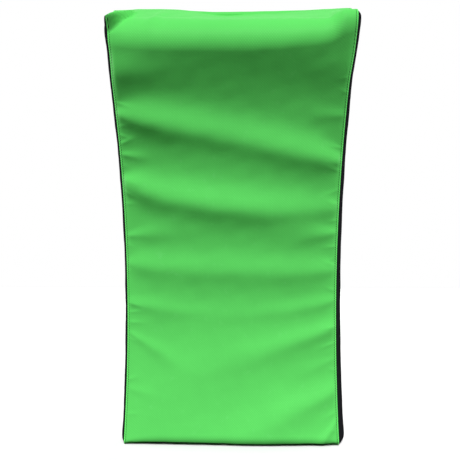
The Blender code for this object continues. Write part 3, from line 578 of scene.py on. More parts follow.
# %% Darts and puckers at the seams
# Side, height at the seam in mm, slope, bow, reach and seam width in mm, spread, steepness
DARTS = (
    (1, 430, -0.02, 0, 90, 6, 0.35, 0.26),
    (1, 664, 0.06, 0, 70, 8, 0.20, 0.14),
    (-1, 423, 0.20, -0.8, 85, 4, 0.28, 0.22),
    (-1, 540, -0.10, 0, 45, 7, 0.30, 0.30),
    (-1, 590, -0.10, 0, 40, 4, 0.20, 0.30),
    (-1, 226, -0.62, 0, 95, 4, 0.24, 0.20),
    (1, 238, -0.36, 0, 190, 17, 0.10, 0.30),
    (1, 174, -0.45, 0, 60, 4, 0.22, 0.12),
    (1, 112, -0.50, 0, 150, 18, 0.18, 0.28),
    (1, 56, -1.9, 16, 60, 9, 0.10, 0.30),
    (-1, 112, -0.25, 0, 60, 5, 0.20, 0.12),
    (-1, 752, 0, 0, 85, 36, 0, 0.20),
    (1, 755, 0, 0, 80, 36, 0, 0.08),
)
PUCKERS = {
    -1: (816, 692, 644, 629, 609, 569, 518, 489, 408, 352, 286, 265, 245, 214, 128, 60),
    1: (737, 707, 599, 554, 518, 487, 456, 402, 381, 361, 310, 239, 206, 148, 69, 30),
}
PUCKER_SEED = 7
PUCKER_SPREAD = 0.12


def dart(p, u, side, height, slope, bow, reach, seam_width, spread, steepness):
    """A ridge along a line from the seam, times a bell curve of the distance from the seam."""
    inward = (1 - side * u) * half_width(p)
    line = height * MM + slope * inward + bow * inward * inward
    width = seam_width * MM + spread * inward
    return steepness * width / STEEPEST * bell(inward, reach * MM) * ridge(p - line, width)


def seam_folds(p, u):
    """The sum of the placed darts and of the small puckers."""
    rise = sum(dart(p, u, *values) for values in DARTS)
    random = np.random.default_rng(PUCKER_SEED)
    for side, heights in PUCKERS.items():
        for height in heights:
            slope, reach = random.uniform(-0.5, 0.5), random.uniform(9, 26)
            width, steepness = random.uniform(2.0, 3.6), random.uniform(0.14, 0.32)
            rise = rise + dart(p, u, side, height, slope, 0, reach, width, PUCKER_SPREAD, steepness)
    return rise


print("darts:", len(DARTS), "puckers:", sum(len(heights) for heights in PUCKERS.values()))

# %% [markdown]
# At the top the slack cover sags towards the middle of its back edge. Its front edge is round, more so in
# the middle. Each corner, where three seams meet, sticks out as a cushion's does: sideways, and on the
# right also upwards. Behind the left one the cloth is pulled down. The left corner is an empty tip of
# cloth that has folded over like a dog's ear. The cloth also has a fine waviness everywhere. All this is
# written once, because the cover and the side panels share it.

# %% Top end, corners and waviness
# Middle, reach and depth in mm of each bell that the sag is made of
SAGS = ((-0.10, 0.24, 7), (0.28, 0.50, 9))

# Radius of the front edge of the top and of the foot in mm: left seam, middle and right seam
TOP_EDGE = (42, 46, 28)
FOOT_EDGE = (10, 23, 13)

# How far each corner sticks out sideways, left and right, in mm, and how far down that is felt
CORNER_OUT = (3, 7)
CORNER_REACH = 70 * MM

# How far the right corner's front stands up, and how far down, back and inwards that is felt
CORNER_UP = 20 * MM
UP_REACH = 60 * MM
UP_DEPTH = 90 * MM
UP_INWARD = 46 * MM

# The left corner's ear: where its fold starts at the seam, how it bends away inwards, how wide its step is,
# then the height, the rise inwards, the slant backwards and the lean forwards of what stands up behind it
EAR_START = -10 * MM
EAR_BEND = 45
EAR_STEP = 20 * MM
EAR_TOP = 18 * MM
EAR_RISE = 0.22
EAR_SLANT = 0.24
EAR_LEAN = 8 * MM
EAR_BACK = 100 * MM

# The drop behind the left corner: its depth, its start, its reach along the top over its reach down the
# seam, and how softly it begins
DROP = 2 * MM
DROP_START = 12 * MM
DROP_SLOPE = 40 / 112
DROP_SOFT = 16 * MM

# Ridges over the top: side, distance from the seam at the back and at the front, half width and height, mm
TOP_RIDGES = ((-1, 99, 75, 9, 3.5), (1, 17, 45, 8, 4))
RIDGE_BACK = 110 * MM

# How far the top end leans to the right as seen from the front, and where that starts
SIDE_LEAN = 3 * MM
SIDE_LEAN_START = 120 * MM
WAVES = 14
WAVE_SEED = 11


def top_sag(q, u):
    """Bell curves across the top, growing with the depth from nothing at the face."""
    return sum(depth * MM * bell(u - middle, reach) for middle, reach, depth in SAGS) * smooth(q / THICKNESS)


def top_edge(u):
    """The front edge's radius: a parabola of u on each side."""
    return by_side(u**2, u, *TOP_EDGE) * MM


def foot_edge(u):
    """The foot's front radius: full in the middle, and sharper at each seam by the sixth power of u."""
    return by_side(u**6, u, *FOOT_EDGE) * MM


def top_ridges(p, q, u):
    """Bell curves across, each along a line that slants from the back edge to the front one."""
    rise, depth = 0.0, np.clip((p + q - LENGTH) / THICKNESS, 0, 1)
    for side, back, front, width, height in TOP_RIDGES:
        line = front + (back - front) * depth
        rise = rise + height * MM * bell((1 - side * u) * half_width(p) / MM - line, width)
    return rise * smooth((RIDGE_BACK - q) / (60 * MM))


def near_top(p, reach):
    """A smooth rise from nothing, a reach below the top end, to full at it."""
    return smooth((p - LENGTH + reach) / reach)


def back_close(q):
    """The root of the share of the rounding that is left before the back edge."""
    return np.sqrt(np.clip((THICKNESS - q) / ROUND_BACK, 0, 1))


def ear_fade(q):
    """Full in front and eased out before the back edge."""
    return smooth((EAR_BACK - q) / (30 * MM))


def ear(p, q, inward, side):
    """How far the left corner moves up and forwards: a smooth step where p + q passes a parabola."""
    past = p + q - LENGTH - EAR_START - EAR_BEND * inward**2
    step = smooth(past / EAR_STEP) * ear_fade(q) * (side < 0)
    up = np.maximum(0, LENGTH + EAR_TOP + EAR_RISE * inward - EAR_SLANT * q - p)
    return step * up, step * EAR_LEAN


def ear_crest(q):
    """How high the ear's top stands at the seam: a slant that eases out before the back edge."""
    return np.maximum(0, EAR_TOP - EAR_SLANT * q) * ear_fade(q)


def side_lean(p, q):
    """A smooth rise towards the top end, and nothing at the back seam."""
    return SIDE_LEAN * smooth((p - LENGTH + SIDE_LEAN_START) / (80 * MM)) * (1 - (q / THICKNESS) ** 2)


def corner_out(p, q, side):
    """How far a seam stands out sideways: the square of the depth, and nothing at both long seams."""
    out = np.where(side < 0, *CORNER_OUT) * MM
    return out * near_top(p, CORNER_REACH) * (q / THICKNESS) ** 2 * back_close(q)


def corner_up(p, q, inward, side):
    """How far the right corner's front stands up: full at the seam, nothing at the back edge."""
    near = near_top(p, UP_REACH) * smooth(1 - q / UP_DEPTH)
    return (side > 0) * CORNER_UP * near * smooth((UP_INWARD - inward) / (26 * MM))


def corner_drop(p, q, inward, side):
    """A drop that levels off, tanh of how far a point lies beyond a slanting line across the corner."""
    beyond = np.maximum(0, DROP_SLOPE * (p + q - LENGTH + DROP_START) - inward)
    return (side < 0) * DROP * np.tanh(beyond / DROP_SOFT) * near_top(p, UP_REACH) * back_close(q)


def waviness(a, b, shortest, longest, height):
    """A sum of cosines of a and b, each with its own wavelength, direction and phase."""
    random = np.random.default_rng(WAVE_SEED)
    total = 0.0
    for _ in range(WAVES):
        turn, phase = random.uniform(0, math.tau, 2)
        pitch = random.uniform(shortest, longest)
        total = total + np.cos(math.tau / pitch * (a * math.cos(turn) + b * math.sin(turn)) + phase)
    return height * total / math.sqrt(WAVES)


print("top edge radius at the seams, mm:", np.round(top_edge(np.array([-1, 1])) / MM, 1))

# %% [markdown]
# The cover's line runs from the back seam under the foot, round the foot, up the face, round the top and
# over it to the back seam. Each of its points faces outwards, and the cloth's height is added that way.
# Folds belong to the face, so they fade with a power of how squarely a point looks forwards. The stitches
# pull the very edge into scallops, one between each two needle holes.

# %% Striking cover
FACE_ROWS = 420
TOP_ROWS = 40
OVER_ROWS = 30
FOOT_ROWS = 14
BACK_CORNER_ROWS = 8
COVER_COLUMNS = 101
SCALLOP = 0.6 * MM
SCALLOP_REACH = 3.5 * MM
HELD_REACH = 5 * MM
COVER_WAVES = (28 * MM, 80 * MM, 0.16 * MM)


def spread(count, crowding):
    """Steps from -1 to 1: even ones blended with a sine's, which crowd towards both ends."""
    even = np.linspace(-1, 1, count)
    return (1 - crowding) * even + crowding * np.sin(math.pi / 2 * even)


def eased(count):
    """Steps from 0 to 1, half of 1 less a cosine, which crowd towards both ends."""
    return (1 - np.cos(math.pi * np.linspace(0, 1, count))) / 2


def corner(centre_p, centre_q, radius, start, end, count):
    """Points and outward directions round a corner, for one radius or for each of several."""
    radius = np.atleast_1d(radius)
    angle = np.radians(np.linspace(start, end, count))[:, None] + 0 * radius
    out_p, out_q = np.cos(angle), np.sin(angle)
    return np.stack([centre_p + radius * out_p, centre_q + radius * out_q, out_p, out_q], -1)


def run(start, end, count):
    """The points strictly between two, evenly spaced."""
    share = np.linspace(0, 1, count + 2)[1:-1].reshape(-1, *[1] * np.ndim(start))
    return start + (end - start) * share


def cover_line(u):
    """The cover's line in p and q with its outward directions, for each u, from back seam to back seam."""
    edge, low = top_edge(u), foot_edge(u)
    back = THICKNESS - ROUND_BACK
    back_foot = corner(ROUND_BACK, back, ROUND_BACK, 90, 180, BACK_CORNER_ROWS)
    foot = corner(low, low, low, 180, 270, FOOT_ROWS)
    top = corner(LENGTH - edge, edge, edge, 270, 360, TOP_ROWS)
    back_top = corner(LENGTH - ROUND_BACK, back, ROUND_BACK, 0, 90, BACK_CORNER_ROWS)
    pieces = (
        back_foot, run(back_foot[-1], foot[0], FOOT_ROWS), foot, run(foot[-1], top[0], FACE_ROWS),
        top, run(top[-1], back_top[0], OVER_ROWS), back_top,
    )
    return np.concatenate([np.broadcast_to(piece, (len(piece), len(u), 4)) for piece in pieces])


def arc_length(points):
    """Distance along a line of points: the running sum of its steps."""
    return np.concatenate([[0], np.cumsum(np.linalg.norm(np.diff(points, axis=0), axis=-1))])


def between_holes(travelled):
    """0 at each needle hole and 1 halfway between two: the size of a sine."""
    return np.abs(np.sin(math.pi * travelled / SEAM_PITCH))


def cover_points():
    """The cover's grid with its folds, sag and scallops, and its maps of the cloth and of the seam."""
    u = spread(COVER_COLUMNS, 0.55)
    line = cover_line(u)
    travelled = arc_length(line[:, COVER_COLUMNS // 2, :2])[:, None]
    p, q, out_p, out_q = np.moveaxis(line, -1, 0)
    u = u[None]
    inward = (1 - np.abs(u)) * half_width(p)
    x = u * (half_width(p) + corner_out(p, q, u)) + side_lean(p, q)

    forwards, upwards = np.maximum(0, -out_q), np.maximum(0, out_p)
    held = 1 - 0.85 * bell(inward, HELD_REACH)
    face = CROWN * (1 - np.abs(u) ** CROWN_POWER) + held * (cross_folds(p, u) + seam_folds(p, u))
    rise = forwards**CROWN_FADE * face + upwards**2 * (top_ridges(p, q, u) - top_sag(q, u))
    rise = rise + waviness(travelled, x, *COVER_WAVES) * (1 - u**20)
    edge = bell(inward, SCALLOP_REACH)
    rise = rise + SCALLOP * (between_holes(travelled) * edge - edge)
    rise = np.where(out_p < -0.5, np.minimum(rise, 0), rise)
    ear_up, ear_out = ear(p, q, inward, u)
    moved = p + out_p * rise + corner_up(p, q, inward, u) + ear_up - corner_drop(p, q, inward, u)
    points = pad_point(moved, q + out_q * rise - ear_out, x)
    return points, joined(x, travelled), joined(inward, travelled)


cover = place(grid_mesh("front_cover_cloth", *cover_points()), GREEN_PVC, "green_pvc", "front_cover")
give_wall(cover)
print("striking cover:", len(cover.data.polygons), "faces")

# %% [markdown]
# Each side panel swells between its two long seams and closes to nothing at the foot and the top, like
# the end of a pillow. The thread gathers both seams. Round each eyelet the panel is pressed flat against
# the flange, and the hole is cut right through, because the real one lets the air out.

# %% Side panels
SIDES = {"left": -1, "right": 1}
SIDE_BULGES = {-1: (13.5 * MM, 14.5 * MM), 1: (18.5 * MM, 13.5 * MM)}
SEAM_TUCK = 0.1 * MM
SIDE_ROWS = 260
SIDE_FOOT_ROWS = 16
SIDE_COLUMNS = 41
PILLOW_FOOT = 5 * MM
PILLOW_TOP = {-1: 16 * MM, 1: 9 * MM}
GATHER = 0.4 * MM
CREASE_WAVES = (26 * MM, 60 * MM, 0.5 * MM)
SOFT_WAVES = (50 * MM, 110 * MM, 0.35 * MM)
EYELET_HEIGHTS = {"lower": 150 * MM, "upper": 690 * MM}
EYELET_SHARE = 0.625
EYELET_HOLE = 5.6 * MM
EYELET_FLANGE = 10 * MM
PRESSED_REACH = 30 * MM


def fullness(side, p):
    """How far a panel swells at its fullest, from its foot's value to its top's."""
    foot, top = SIDE_BULGES[side]
    return foot + (top - foot) * p / LENGTH


def side_swell(side, p, share, chord):
    """A parabola across the panel, 4 s (1 - s), fuller or flatter with the height."""
    return fullness(side, p) * 4 * share * (1 - share) * np.minimum(1, chord / THICKNESS)


def pillow_end(distance, rounding):
    """A quarter circle: nothing at the end seam, full beyond the rounding."""
    return np.sqrt(1 - (1 - np.clip(distance / rounding, 0, 1)) ** 2)


def eyelet_flat(side, p, q, share):
    """What lies above the flat facet between shares 0.5 and 0.75, near an eyelet."""
    above = np.maximum(0, 4 * share * (1 - share) - (1.5 - share)) * fullness(side, p)
    pressed = 0.0
    for height in EYELET_HEIGHTS.values():
        away = np.hypot(p - height, q - EYELET_SHARE * THICKNESS)
        pressed = pressed + smooth((PRESSED_REACH - away) / (16 * MM))
    return above * pressed


def seam_chain(foot, top):
    """One long seam's points: the foot's corner, a straight run and the top's corner."""
    foot, top = foot[:, 0, :2], top[:, 0, :2]
    return np.concatenate([foot, run(foot[-1], top[0], SIDE_ROWS), top])


def side_points(side):
    """The panel's grid between its two chains of seam points, swollen, gathered and dimpled."""
    inset = SKIN + GAP
    edge, low = top_edge(side), foot_edge(side)
    back, tight = THICKNESS - ROUND_BACK, ROUND_BACK - inset
    front = seam_chain(
        corner(low, low, low - inset, 180, 270, SIDE_FOOT_ROWS),
        corner(LENGTH - edge, edge, edge - inset, 270, 360, TOP_ROWS),
    )
    rear = seam_chain(
        corner(ROUND_BACK, back, tight, 180, 90, SIDE_FOOT_ROWS),
        corner(LENGTH - ROUND_BACK, back, tight, 90, 0, TOP_ROWS),
    )
    share = eased(SIDE_COLUMNS)[None]
    level, q = (front[:, i:i + 1] + (rear[:, i:i + 1] - front[:, i:i + 1]) * share for i in (0, 1))
    ear_up, ear_out = (moved[:, None] for moved in ear(*front.T, 0, side))
    p = level + ear_up * ear_crest(q) / ear_crest(front[:, 1:])
    q = q - ear_out * (1 - share)
    chord = np.hypot(*(rear - front).T)[:, None]
    from_seam = np.minimum(share, 1 - share) * chord
    from_end = np.minimum(level, LENGTH - level)

    swell = side_swell(side, level, share, chord) * pillow_end(level - inset, PILLOW_FOOT)
    swell = swell * pillow_end(LENGTH - level - inset, PILLOW_TOP[side])
    gathers = GATHER * between_holes(p) * bell(from_seam, 5 * MM)
    creases = waviness(p * 2.2, q * 0.35, *CREASE_WAVES) * bell(from_seam, 26 * MM)
    flat_end = smooth(from_seam / (4 * MM)) * smooth(from_end / (20 * MM))
    swell = swell + gathers * flat_end + (creases + waviness(p, q, *SOFT_WAVES)) * flat_end
    swell = swell - eyelet_flat(side, p, q, share)
    across = side * (half_width(p) + corner_out(p, q, side) - SEAM_TUCK + swell) + side_lean(p, q)
    moved = p + corner_up(p, q, 0, side) - corner_drop(p, q, 0, side)
    return pad_point(moved, q, across), joined(q, p)


def eyelet_frame(side, height):
    """Origin and rows across the facet, along it and straight out, where an eyelet's flange lies flat."""
    def facet(p, share):
        x = half_width(p) - SEAM_TUCK + side_swell(side, p, share, THICKNESS)
        return pad_point(p, share * THICKNESS, side * x)

    fullest, behind = facet(height, 0.5), facet(height, 0.75)
    across = unit(behind - fullest)
    along = facet(height + EYELET_FLANGE, EYELET_SHARE) - facet(height - EYELET_FLANGE, EYELET_SHARE)
    out = unit(side * np.cross(across, along))
    return (fullest + behind) / 2, np.array([across, np.cross(out, across), out])


def spun(radius, height, angle):
    """Points round the Z axis, each with its radius, its height and its angle."""
    return joined(radius * np.cos(angle), radius * np.sin(angle), height)


def cut_hole(obj, origin, axes):
    """Cuts a round hole along a frame's outward axis and leaves only the finished mesh."""
    ends = np.array([[-5 * MM], [5 * MM]])
    rings = spun(EYELET_HOLE, ends, np.linspace(0, math.tau, 48, endpoint=False))
    cutter = new_object("cutter", grid_mesh("cutter", origin + rings @ axes, ring=True, caps=True))
    settle(obj.modifiers.new("hole", "BOOLEAN"), operation="DIFFERENCE", object=cutter)
    graph = bpy.context.evaluated_depsgraph_get()
    finished = bpy.data.meshes.new_from_object(obj.evaluated_get(graph))
    obj.modifiers.clear()
    obj.data = finished
    bpy.data.objects.remove(cutter, do_unlink=True)


for name, side in SIDES.items():
    mesh = grid_mesh(f"{name}_gusset_cloth", *side_points(side), flip=side < 0)
    gusset = give_wall(place(mesh, SIDE_PVC, "black_pvc", f"{name}_gusset"))
    for height in EYELET_HEIGHTS.values():
        cut_hole(gusset, *eyelet_frame(side, height))
    print(name, "side panel:", len(gusset.data.polygons), "faces")

# %% [markdown]
# The back is nearly flat, because the arms press the shield against the coach. Two panels meet at the
# zip, and each is turned over there and stitched down, so its edge is a rounded hem. The cloth only dips
# inwards, and not where a patch is welded on.

# %% Back panels
SEAM_AT = ROUND_BACK / LENGTH * BACK_LENGTH + HEM_GAP
BACK_COLUMNS = 89
BACK_DIP = 1.8 * MM
HEM_WIDTH = 11 * MM
HEM_RISE = 0.5 * MM
STRAP_X = 85 * MM
STRAP_LOW = 225 * MM
STRAP_HIGH = 585 * MM
STRAP_HALF_SPAN = (STRAP_HIGH - STRAP_LOW) / 2
STRAP_TAB = 48 * MM
PATCH_LENGTH = 82 * MM
PATCH_WIDTH = 76 * MM
HANDLE_AT = 770 * MM
HANDLE_HALF_SPAN = 88 * MM
HANDLE_TAB = 40 * MM
HANDLE_PATCH_LENGTH = 66 * MM
HANDLE_PATCH_WIDTH = 58 * MM

# Each patch as its height up the back, its distance across, its length up and its width across
PATCHES = {
    f"{name}_{where}_patch": (height, side * STRAP_X, PATCH_LENGTH, PATCH_WIDTH)
    for name, side in SIDES.items()
    for where, height in (("lower", STRAP_LOW - STRAP_TAB / 2), ("upper", STRAP_HIGH + STRAP_TAB / 2))
} | {
    f"handle_{name}_patch":
        (HANDLE_AT, side * (HANDLE_HALF_SPAN + HANDLE_TAB / 2), HANDLE_PATCH_WIDTH, HANDLE_PATCH_LENGTH)
    for name, side in SIDES.items()
}


def under_patch(height, x):
    """1 away from the patches, 0 under them, with a soft border."""
    free = 1.0
    for patch_height, patch_x, length, width in PATCHES.values():
        beyond = np.maximum(np.abs(height - patch_height) - length / 2, np.abs(x - patch_x) - width / 2)
        free = free * smooth(beyond / (12 * MM))
    return free


def back_sheet(name, low, high, zip_edge, rows):
    """A panel between two heights: dips from waves, gathers at its sides and a hem along the zip."""
    height = np.linspace(low, high, rows)[:, None]
    half = half_width(height / BACK_LENGTH * LENGTH)
    x = spread(BACK_COLUMNS, 0.5)[None] * half
    inward = half - np.abs(x)
    from_zip = np.abs(height - zip_edge)
    broad = waviness(x, height, 40 * MM, 150 * MM, 1.0)
    seams = waviness(height * 3, x * 0.3, 24 * MM, 70 * MM, 1.0) * bell(inward, 30 * MM)
    dip = np.clip(0.35 + 0.2 * broad + 0.35 * seams, 0, 1) * BACK_DIP
    dip = dip * under_patch(height, x) * smooth(from_zip / (20 * MM)) * smooth(inward / (3 * MM))
    hem = HEM_RISE * smooth(from_zip / (1.2 * MM)) * smooth((HEM_WIDTH - from_zip) / (1.5 * MM))
    points = back_point(height, hem * smooth(inward / (6 * MM)) - dip, x)
    mesh = grid_mesh(f"{name}_cloth", points, joined(x, height), flip=True)
    give_wall(place(mesh, BACK_PVC, "black_pvc", name))


back_sheet("foot_panel", SEAM_AT, ZIP_AT - ZIP_WINDOW, ZIP_AT - ZIP_WINDOW, 60)
back_sheet("back_panel", ZIP_AT + ZIP_WINDOW, BACK_LENGTH - SEAM_AT, ZIP_AT + ZIP_WINDOW, 420)
print("back panels made, patches to come:", len(PATCHES))

# %% [markdown]
# Inside lie three layers of foam, soft to stiff. Each is a block cut from sheet foam, bent to the pad's
# curve and as full at its sides as the cloth, with edges that the cover has rounded.

# %% Foam layers
FOAM_ROWS = 120
FOAM_COLUMNS = 25
FOAM_FULL = 0.9
FOAM_INSET = 3.4 * MM

# Each layer's front, back, lower end, distance below the top, edge, foot's and top's rounding and crown, mm
FOAMS = {
    "impact_foam": (SOFT_FOAM, "soft_foam", 2.6, 39.9, 3, 14, 3, 21, 36, 8),
    "core_foam": (DENSE_FOAM, "dense_foam", 40.4, 87.9, 3, 16, 2, 2, 2, 0),
    "backing_foam": (STIFF_FOAM, "stiff_foam", 88.4, 113.8, 12, 17, 3, 3, 3, 0),
}


def soft_edge(distance, radius):
    """How far a rounded edge has dropped at a distance from it: r less the root of r2 less (r - d)2."""
    near = np.clip(radius - distance, 0, radius)
    return radius - np.sqrt(radius**2 - near**2)


def foam_side(side, p, q):
    """The block's side: within the side panel, and nine tenths as full."""
    swell = FOAM_FULL * side_swell(side, p, q / THICKNESS, THICKNESS)
    swell = swell * smooth(np.minimum(p, LENGTH - p) / (60 * MM))
    return side * (half_width(p) - SKIN - SEAM_TUCK - FOAM_INSET + swell)


def foam_points(front, back, low, below_top, edge, foot_round, top_round, crown):
    """A ring of points per height: across the front, then back along the rear."""
    high = LENGTH - below_top
    p = (low + (high - low) * eased(FOAM_ROWS))[:, None]
    u = spread(FOAM_COLUMNS, 1)[None]
    ends = np.maximum(soft_edge(p - low, foot_round), soft_edge(high - p, top_round))
    sides = soft_edge((1 - np.abs(u)) * half_width(p), edge)
    swell = crown * (1 - np.abs(u) ** CROWN_POWER) * smooth(np.minimum(p - low, high - p) / (70 * MM))
    q_front = np.minimum(front + ends + sides - swell, back - edge)
    ends = np.maximum(soft_edge(p - low, edge), soft_edge(high - p, edge))
    q_rear = np.maximum(back - ends - sides, q_front + edge / 4)[:, ::-1]
    q = np.hstack([q_front, q_rear])
    u = np.hstack([u, u[:, ::-1]])
    return pad_point(p, q, np.abs(u) * np.where(u < 0, foam_side(-1, p, q), foam_side(1, p, q)))


for name, (finish, slot, *sizes) in FOAMS.items():
    points = foam_points(*(size * MM for size in sizes))
    block = place(grid_mesh(f"{name}_block", points, ring=True, caps=True), finish, slot, name)
print("foam layers made:", len(FOAMS))

# %% [markdown]
# A strap is a flat section carried along a line. The line lies flat on the back where it is sewn down and
# arches out for the forearm. The sleeve, its padding and the handle's grip follow the same lines, so one
# function carries any section along any line.

# %% Sections carried along a line
WEBBING = 2.2 * MM
PATCH = 1.2 * MM
STRAP_RISE = 72 * MM
HANDLE_RISE = 40 * MM
ARCH_SHOULDER = 0.52
NEARBY = 0.002


def rounded_box(half, low, high, radius, flat=8, bend=5):
    """A box's outline: four quarter circles joined by straight runs, as (across, outwards)."""
    turn = np.radians(np.array([270, 0, 90, 180])[:, None] + np.linspace(0, 90, bend))
    centre = np.array([
        (half - radius, low + radius), (half - radius, high - radius),
        (radius - half, high - radius), (radius - half, low + radius),
    ])
    arcs = centre[:, None] + radius * np.stack([np.cos(turn), np.sin(turn)], -1)
    share = np.linspace(0, 1, flat + 2)[1:-1, None]
    runs = arcs[:, -1:] + (np.roll(arcs[:, :1], -1, 0) - arcs[:, -1:]) * share
    return np.concatenate([arcs, runs], 1).reshape(-1, 2)


def arch(share, rise):
    """The line's height over the back: full in the middle, easing to just clear of a patch."""
    return PATCH + 2 * GAP + rise * smooth((1 - np.abs(share)) / ARCH_SHOULDER)


def direction(line, share):
    """Which way a line runs, from two of its points close together."""
    return unit(line(share + NEARBY) - line(share - NEARBY))


def strap_place(share, across, out):
    """A point of an arm strap, from its share of the span, distance across and height over its line."""
    def line(at):
        return back_point((STRAP_LOW + STRAP_HIGH) / 2 + at * STRAP_HALF_SPAN, arch(at, STRAP_RISE), 0)

    along = direction(line, share)
    outwards = joined(0, along[..., 2], -along[..., 1])
    return line(share) + outwards * np.expand_dims(out, -1) + joined(across, 0, 0)


def back_axes(height):
    """The back's own frame at a height: its origin, and rows to the coach's right, up and straight out."""
    lean = height / BACK_RADIUS - BACK_LEAN_FOOT
    up, out = (0, -math.sin(lean), math.cos(lean)), (0, math.cos(lean), math.sin(lean))
    return back_point(height, 0, 0), np.array([(-1, 0, 0), up, out])


def handle_place(share, across, out):
    """A point of the carry handle, which runs level across the back near its top."""
    def line(at):
        return joined(at * HANDLE_HALF_SPAN, arch(at, HANDLE_RISE))

    along = direction(line, share)
    flat = line(share) + joined(-along[..., 1], along[..., 0]) * np.expand_dims(out, -1)
    origin, axes = back_axes(HANDLE_AT)
    return origin + joined(flat[..., 0], across, flat[..., 1]) @ axes


def section_grid(shares, section, wrinkle):
    """Share, across and outward values for each station; a wrinkle pinches the section here and there."""
    share = np.broadcast_to(shares[:, None], (len(shares), len(section)))
    across, out = section.T[:, None]
    middle = section.mean(0)[1]
    pinch = 1 - wrinkle * (0.5 + 0.5 * waviness(share * 900 * MM, across, 14 * MM, 50 * MM, 0.7))
    rise = middle + (out - middle) * np.clip(pinch, 1 - wrinkle, 1)
    return share, np.broadcast_to(across, share.shape), rise


def section_uv(points):
    """Metres round the section and along the line."""
    closed = np.concatenate([points, points[:, :1]], 1)
    return joined(arc_length(closed[len(closed) // 2])[None], arc_length(points[:, 0])[:, None])


def carried(name, place_point, shares, *sections, across_at=0.0, wrinkle=0.0):
    """A section at every share of the line, with capped ends; a second section inside makes it a tube."""
    walls = []
    for section, order in zip(sections, (1, -1)):
        share, across, out = section_grid(shares, section, wrinkle)
        walls.append(place_point(share, across + across_at, out)[::order])
    points, tube = np.concatenate(walls), len(sections) > 1
    return grid_mesh(name, points, section_uv(points), ring=True, caps=not tube, loop=tube)


print("an arm strap stands", round(arch(0, STRAP_RISE) / MM, 1), "mm off the back")

# %% [markdown]
# Each arm strap is webbing with a padded sleeve where the forearm pushes. The sleeve is cut a little
# large, so it wrinkles over its padding. The handle has a rolled grip instead.

# %% Straps, sleeves, padding and handle
STRAP_WIDTH = 50 * MM
SLEEVE_SHARE = 0.60
SLEEVE_EASE = 0.5 * MM
PADDING = 9 * MM
HANDLE_WIDTH = 38 * MM
GRIP_HALF_LENGTH = 46 * MM
GRIP_WALL = 4 * MM
TAB_SHARE = STRAP_TAB / STRAP_HALF_SPAN
HANDLE_SHARE = (HANDLE_HALF_SPAN + HANDLE_TAB) / HANDLE_HALF_SPAN


def webbing_section(width):
    """A flat band with round edges."""
    return rounded_box(width / 2, 0, WEBBING, 0.9 * MM, flat=10)


def tube_sections(width, under, wall, radius, **steps):
    """A tube's outer and inner outline round webbing of a width and what lies under it, with some ease."""
    half, under, over = width / 2 + SLEEVE_EASE, under - SLEEVE_EASE, WEBBING + SLEEVE_EASE
    outer = rounded_box(half + wall, under - wall, over + wall, radius, **steps)
    return outer, rounded_box(half, under, over, 0.8 * MM, **steps)


for name, side in SIDES.items():
    x = side * STRAP_X
    shares = np.linspace(-1 - TAB_SHARE, 1 + TAB_SHARE, 220)
    strap = carried(f"{name}_arm_webbing", strap_place, shares, webbing_section(STRAP_WIDTH), across_at=x)
    place(strap, WEBBING_FINISH, "webbing", f"{name}_arm_strap")

    shares = np.linspace(-SLEEVE_SHARE, SLEEVE_SHARE, 150)
    tube = tube_sections(STRAP_WIDTH, -GAP - PADDING, SKIN, 2.5 * MM, flat=12)
    sleeve = carried(f"{name}_arm_sleeve_cloth", strap_place, shares, *tube, across_at=x, wrinkle=0.03)
    place(sleeve, SLEEVE_PVC, "sleeve_pvc", f"{name}_arm_sleeve")

    block = rounded_box(STRAP_WIDTH / 2 - 1.2 * MM, -GAP - PADDING + 0.4 * MM, -GAP - 0.2 * MM, 2.4 * MM)
    padding = carried(f"{name}_arm_padding_foam", strap_place, shares[6:-6], block, across_at=x)
    place(padding, DENSE_FOAM, "dense_foam", f"{name}_arm_padding")

shares = np.linspace(-HANDLE_SHARE, HANDLE_SHARE, 140)
handle = carried("carry_webbing", handle_place, shares, webbing_section(HANDLE_WIDTH))
place(handle, WEBBING_FINISH, "webbing", "carry_handle")
shares = np.linspace(-1, 1, 80) * GRIP_HALF_LENGTH / HANDLE_HALF_SPAN
tube = tube_sections(HANDLE_WIDTH, 0, GRIP_WALL, 4.2 * MM, bend=9)
grip = carried("carry_grip_cloth", handle_place, shares, *tube, wrinkle=0.02)
place(grip, SLEEVE_PVC, "sleeve_pvc", "carry_grip")
print("straps, sleeves and handle made")

# %% [markdown]
# The patches spread the straps' pull over the back. Each is cut with round corners and welded on along a
# narrow band, which the welding bar has pressed down.

# %% Reinforcement patches
PATCH_CORNER = 9 * MM

# Inset from the patch's outline and height over its foot, from its lower edge to its middle, in mm
PATCH_STEPS = (
    (0, 0), (0, 0.9), (0.3, 1.2), (2.6, 1.2), (3.2, 0.85), (4.4, 0.85), (5.0, 1.2),
    (10, 1.2), (15, 1.2), (20, 1.2), (25, 1.2), (27.5, 1.2),
)


def patch_mesh(name, height, x, length, width):
    """Rings of the outline, each set in further, lifted by the steps and laid on the back."""
    rings = []
    for inset, rise in PATCH_STEPS:
        inset, rise = inset * MM, rise * MM
        round_by = max(1 * MM, PATCH_CORNER - inset)
        outline = rounded_box(width / 2 - inset, inset - length / 2, length / 2 - inset, round_by)
        rings.append(back_point(height + outline[:, 1], GAP + rise, x + outline[:, 0]))
    return grid_mesh(name, np.stack(rings), ring=True, caps=True, sharp=40)


for name, values in PATCHES.items():
    place(patch_mesh(f"{name}_cloth", *values), BACK_PVC, "black_pvc", name)
print("patches:", len(PATCHES))

# %% [markdown]
# The foam goes in through the zip, so it is a heavy one with moulded teeth. Each tooth is a small loft
# across the chain: a foot in the bead, a neck, and a head that is wider, so the heads lock between each
# other. The two rows stand half a pitch apart. Tape and bead run along the whole chain.

